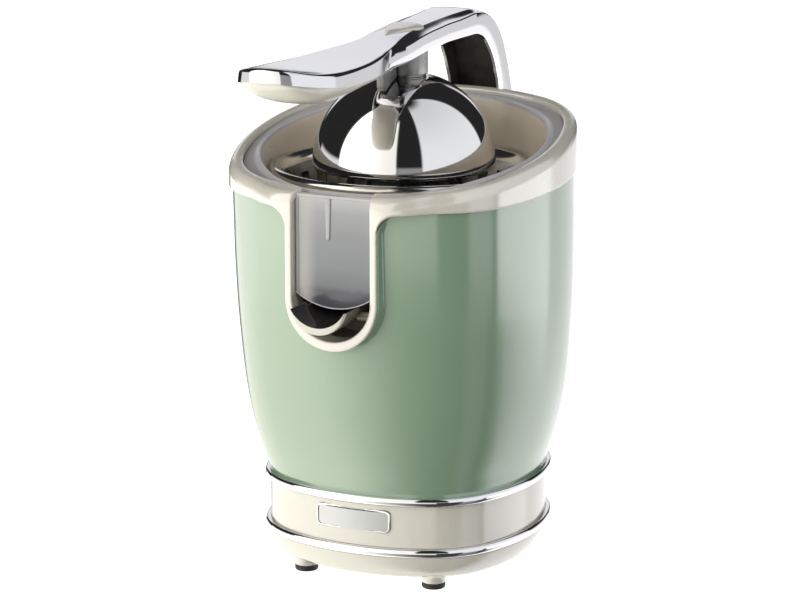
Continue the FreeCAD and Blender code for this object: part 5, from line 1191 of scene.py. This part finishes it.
# release button
b = Build()
half = pchip([-24.6, -23.8, -22.0, -10.0, 0.0, 2.5, 4.2, 5.6, 6.4], [0.02, 0.75, 1.5, 6.4, 10.2, 10.5, 9.6, 7.2, 0.05])
st = np.concatenate([[-24.6, -24.3, -23.8, -23.0], np.arange(-22.0, 1.0, 1.5), np.linspace(1.0, 6.39, 14)])
cols_b = []
for y in st:
    w = float(half(y))
    zt = float(zt_tab(y)) + 0.25
    lift = 0.95 * smooth((y + 24.6) / 12.0)
    sec = []
    for t in np.linspace(0, 1, 9):
        x = w * 0.93 * t
        sec.append((x, y, zt + lift + 0.5 * (1 - t * t) - 0.10 * max(0.0, x - 6.0) ** 1.3))
    zz0 = sec[-1][2]
    r = min(0.9, w * 0.07 + 0.1)
    for q in np.radians([30, 60, 90]):
        sec.append((w * 0.93 + (w * 0.07) * math.sin(q), y, zz0 - r * (1 - math.cos(q))))
    sec.append((w, y, 296.0))
    sec.append((w, y, 294.2))
    cols_b.append(sec)
b.grid(cols_b)
b.grid([[s[-1], (0.0, s[-1][1], 294.2)] for s in cols_b])
b.mirror()
b.make("release_wedge", [CREAM], body="release", slot="cream_shell", replaces=("release_button",), angle=45)

# latch hook: a plate with a round nose
def offset_poly(p, d):
    p = np.asarray(p, float)
    n = len(p)
    area = 0.5 * sum(p[i][0] * p[(i + 1) % n][1] - p[(i + 1) % n][0] * p[i][1] for i in range(n))
    sg = 1 if area > 0 else -1
    o = []
    for i in range(n):
        e1 = p[i] - p[i - 1]
        e2 = p[(i + 1) % n] - p[i]
        e1 /= np.linalg.norm(e1)
        e2 /= np.linalg.norm(e2)
        n1, n2 = np.array([-e1[1], e1[0]]) * sg, np.array([-e2[1], e2[0]]) * sg
        m = n1 + n2
        m /= np.linalg.norm(m)
        o.append(p[i] + m * d / max(0.35, float(m @ n1)))
    return np.array(o)


hook = [(-30.6, 288.0), (-30.6, 276.0), (-30.5, 274.2), (-30.2, 272.9), (-29.6, 271.9), (-28.9, 271.3), (-28.2, 271.2), (-27.4, 271.6), (-26.0, 272.4), (-22.0, 274.4), (-18.0, 276.0), (-14.4, 277.3), (-14.4, 290.0), (-21.0, 290.0)]
b = Build()
r = 0.9
lv2 = []
for q in np.radians([90, 72, 54, 36, 18, 0]):
    ins, x = r * (1 - math.sin(q)), 2.5 - r + r * math.cos(q)
    o = offset_poly(hook, ins)
    lv2.append(np.array([(x, y, z) for y, z in o]))
mid = np.array([(0.0, y, z) for y, z in hook])
b.grid([mid] + lv2, closed_v=True)
b.cap(lv2[-1])
b.mirror()
b.make("latch_plate", [PLATE_DARK_AND_SHADE_LINES], body="release", slot="polished_arm", replaces=("latch_hook",), angle=50)

# ---------------------------------------------------------------- tilting spout
b = Build()


def trough(y0, y1, top, n_y, lip=False):
    zo, ro, zi, ri = 169.6, 16.0, 175.3, 17.7
    xo = math.sqrt(ro * ro - (top - zo) ** 2)
    xi = math.sqrt(ri * ri - (top - zi) ** 2)
    ao0 = math.asin(xo / ro) if top < zo else math.pi - math.asin(min(1, xo / ro))
    ai0 = math.asin(xi / ri)
    outer = [(ro * math.sin(a), zo - ro * math.cos(a)) for a in np.linspace(0, ao0, 24)]
    inner = [(ri * math.sin(a), zi - ri * math.cos(a)) for a in np.linspace(ai0, 0, 24)]
    inner = [(x, min(z, top)) for x, z in inner]
    return [[(x, y, z) for x, z in outer + inner] for y in np.linspace(y0, y1, n_y)]


for y0, y1, top, ny in ((-110.0, -91.0, 166.6, 12), (-91.0, -64.0, 164.8, 14)):
    g = np.array(trough(y0, y1, top, ny))
    if y0 == -110.0:
        # round off the front lip
        g[0][:24] = g[1][:24] * 0 + np.array([(x * 0.985, -109.8, z + 0.35) for x, _, z in g[0][:24]])
    # behind the cream front lip the trough's outer faces take the shaded grey-taupe: painted shade in the recess
    first = 3 if y0 == -110.0 else 0
    if first:
        b.grid([r_[:24] for r_ in g[:first]], mat=0)
        b.grid([[r_[23], r_[24]] for r_ in g[:first]], mat=0)
    b.grid([r_[:24] for r_ in g[max(0, first - 1):]], mat=2)
    b.grid([[r_[23], r_[24]] for r_ in g[max(0, first - 1):]], mat=2)
    b.grid([r_[24:] for r_ in g], mat=1)
    for e in (0, -1):
        o, i_ = g[e][:24], g[e][24:][::-1]
        b.grid([o, i_], mat=0 if e == 0 and y0 == -110.0 else 2)
back_w = [[(16.0 * math.sin(a), y, 169.6 - 16.0 * math.cos(a)) for a in np.linspace(0, math.asin(math.sqrt(256 - 4.8 ** 2) / 16.0), 24)] for y in (-66.0, -64.0)]
b.grid([[(p[0], p[1], p[2]) for p in back_w[0]], [(p[0], p[1], 164.8) for p in back_w[0]]], mat=1)
b.grid([[(p[0], p[1], p[2]) for p in back_w[1]], [(p[0], p[1], 164.8) for p in back_w[1]]], mat=0)
b.grid([[(p[0], -66.0, 164.8) for p in back_w[0]], [(p[0], -64.0, 164.8) for p in back_w[0]]], mat=0)
b.mirror()
tt = np.arange(28) * 2 * math.pi / 28
for sx in (-1, 1):
    L = [np.array([(sx * x, -87.5 + r * math.cos(t), 161.0 + r * math.sin(t)) for t in tt]) for x, r in ((13.6, 2.5), (22.7, 2.5), (22.95, 2.25))]
    b.grid(L, closed_v=True, mat=2)
    b.cap(L[-1], 2)
    b.cap(L[0], 2)
b.make("spout_trough", [CREAM, DARK, TROUGH_SIDE_PAINTED_SHADE], body="spout_tray", slot="cream_shell", replaces=("spout",), angle=35)

# small edges on the carried-over pieces
for name, width in (("hinge_bracket", 0.0009), ("hinge_pin", 0.0003), ("release_button", 0.0005)):
    o = NODES[name]
    md = o.modifiers.new("edge", "BEVEL")
    md.width, md.segments, md.limit_method, md.angle_limit = width, 2, "ANGLE", math.radians(40)
    md.use_clamp_overlap = True

# ---------------------------------------------------------------- floor, light
def stage_plane(name, size, loc, rot, mat):
    me = bpy.data.meshes.new(name)
    s = size / 2
    me.from_pydata([(-s, -s, 0), (s, -s, 0), (s, s, 0), (-s, s, 0)], [], [(0, 1, 2, 3)])
    me.materials.append(mat)
    o = bpy.data.objects.new(name, me)
    o.location, o.rotation_euler = loc, rot
    SC.collection.objects.link(o)
    return o


FLOOR = material("floor_paper", (0.80, 0.80, 0.80), rough=0.75, rough_var=0.05, bump=0.05, bump_scale=60.0, tint=0.01, spec=0.1)
for n_ in FLOOR.node_tree.nodes:
    if n_.type == "BSDF_PRINCIPLED":
        n_.inputs["Emission Color"].default_value = (1.0, 1.0, 1.0, 1.0)
        n_.inputs["Emission Strength"].default_value = 0.86
floor = stage_plane("floor", 14.0, (0, 0, 0), (0, 0, 0), FLOOR)
floor.visible_glossy = False
floor.visible_diffuse = False

# The studio: tall soft panels round the set with dark gaps between, given by the direction from the object.
# Azimuth runs from the side of the viewer, positive to the viewer's right.
world = bpy.data.worlds.new("studio")
SC.world = world
world.use_nodes = True
nt = world.node_tree
for n_ in list(nt.nodes):
    nt.nodes.remove(n_)
AZ = math.radians(24.63)


def put(sock, v):
    if isinstance(v, (int, float)):
        sock.default_value = v
    else:
        nt.links.new(v, sock)


def calc(op, *vals):
    n_ = nt.nodes.new("ShaderNodeMath")
    n_.operation = op
    for k, v in enumerate(vals):
        put(n_.inputs[k], v)
    return n_.outputs[0]


def ease(v, a, b, lo=0.0, hi=1.0):
    n_ = nt.nodes.new("ShaderNodeMapRange")
    n_.interpolation_type = "SMOOTHSTEP"
    for key, q in (("Value", v), ("From Min", a), ("From Max", b), ("To Min", lo), ("To Max", hi)):
        put(n_.inputs[key], q)
    return n_.outputs[0]


def band(v, a, b, soft):
    return calc("MULTIPLY", ease(v, a - soft / 2, a + soft / 2), ease(v, b - soft / 2, b + soft / 2, 1.0, 0.0))


out = nt.nodes.new("ShaderNodeOutputWorld")
bg = nt.nodes.new("ShaderNodeBackground")
nt.links.new(bg.outputs[0], out.inputs["Surface"])
tc = nt.nodes.new("ShaderNodeTexCoord")
sep = nt.nodes.new("ShaderNodeSeparateXYZ")
nt.links.new(tc.outputs["Generated"], sep.inputs[0])
X_, Y_, Z_ = sep.outputs
toward = calc("ADD", calc("MULTIPLY", X_, math.sin(AZ)), calc("MULTIPLY", Y_, -math.cos(AZ)))
aside = calc("ADD", calc("MULTIPLY", X_, math.cos(AZ)), calc("MULTIPLY", Y_, math.sin(AZ)))
az = calc("MULTIPLY", calc("ARCTAN2", aside, toward), 180 / math.pi)
elv = calc("MULTIPLY", calc("ARCSINE", Z_), 180 / math.pi)
low_g = calc("MULTIPLY", ease(elv, -10.5, -8.0, 1.0, 0.0), ease(elv, -20.0, -14.0))
deep_g = ease(elv, -20.0, -14.0, 1.0, 0.0)
high_g = calc("MULTIPLY", ease(elv, -10.5, -8.0), ease(elv, 56.0, 64.0, 1.0, 0.0))
tall_g = calc("MULTIPLY", ease(elv, -10.5, -8.0), ease(elv, 72.0, 84.0, 1.0, 0.0))
WARM, COOL, PALE = (1.0, 0.985, 0.93), (0.96, 0.975, 1.0), (1.0, 1.0, 1.0)


def times(*vals):
    v = vals[0]
    for q in vals[1:]:
        v = calc("MULTIPLY", v, q)
    return v


PANELS = [
    (times(band(az, -158, 8, 3), ease(az, -62, -6, 2.3, 1.2), ease(az, -150, -105, 0.72, 1.0), low_g), WARM),
    (times(band(az, 42, 70, 4), 0.8, low_g), PALE),
    (times(band(az, 76, 124, 4), 2.35, low_g), PALE),
    (times(band(az, 124, 190, 4), 1.15, low_g), PALE),
    (times(ease(az, -178, -112, 0.85, 1.1), ease(az, -75, 0, 1.65, 0.03), deep_g), (1.0, 0.985, 0.90)),
    (times(ease(az, 70, 112, 0.0, 1.4), deep_g), PALE),
    (times(band(az, 40, 64, 8), 0.18, deep_g), PALE),
    (times(band(az, -89, -10, 3), ease(az, -88, -10, 1.9, 1.1), high_g), WARM),
    (times(band(az, 23, 119, 4), ease(elv, 10, 80, 1.0, 0.75), tall_g), COOL),
    (times(calc("ADD", ease(az, 157, 161), ease(az, -161, -157, 1.0, 0.0)), 0.86, ease(elv, 0.0, 4.0), ease(elv, 21.0, 27.0, 1.0, 0.0)), (0.97, 0.97, 1.0)),
    (times(band(az, 119, 150, 4), 0.74, ease(elv, -10.5, -8.0), ease(elv, -2.0, 2.0, 1.0, 0.0)), PALE),
    (times(band(az, -10, 23, 6), 0.30, ease(elv, -10.5, -8.0), ease(elv, 0.0, 4.0, 1.0, 0.0)), PALE),
    (times(band(az, -132, -89, 5), 0.85, ease(elv, -10.5, -8.0), ease(elv, 0.0, 4.0, 1.0, 0.0)), PALE),
]
total = None
for lum, colr in PANELS:
    vm = nt.nodes.new("ShaderNodeVectorMath")
    vm.operation = "SCALE"
    vm.inputs[0].default_value = colr
    nt.links.new(lum, vm.inputs["Scale"])
    if total is None:
        ad = nt.nodes.new("ShaderNodeVectorMath")
        ad.operation = "ADD"
        nt.links.new(vm.outputs[0], ad.inputs[0])
        ad.inputs[1].default_value = (0.022, 0.022, 0.022)
    else:
        ad = nt.nodes.new("ShaderNodeVectorMath")
        ad.operation = "ADD"
        nt.links.new(total, ad.inputs[0])
        nt.links.new(vm.outputs[0], ad.inputs[1])
    total = ad.outputs[0]
nt.links.new(total, bg.inputs["Color"])
bg.inputs["Strength"].default_value = 1.0


def around(az_deg, el_deg, dist, z0=0.15):
    """Place by the angle from the side of the viewer, positive to the viewer's right, as seen from the object."""
    a, e = math.radians(az_deg), math.radians(el_deg)
    dx = math.sin(AZ) * math.cos(a) + math.cos(AZ) * math.sin(a)
    dy = -math.cos(AZ) * math.cos(a) + math.sin(AZ) * math.sin(a)
    return (dx * math.cos(e) * dist, 0.0228 + dy * math.cos(e) * dist, z0 + math.sin(e) * dist)


fill = bpy.data.lights.new("fill", "AREA")
fill.shape, fill.size, fill.size_y, fill.energy, fill.color = "RECTANGLE", 1.2, 1.0, 9.0, (1.0, 0.99, 0.97)
fill_ob = bpy.data.objects.new("fill", fill)
fill_ob.location = around(-38, 18, 1.9)
fill_ob.rotation_euler = (Vector((0, 0.02, 0.15)) - fill_ob.location).to_track_quat("-Z", "Y").to_euler()
fill_ob.visible_glossy = False
SC.collection.objects.link(fill_ob)

SC.view_settings.view_transform = "Standard"
SC.view_settings.look = "None"
SC.view_settings.exposure = 0.0
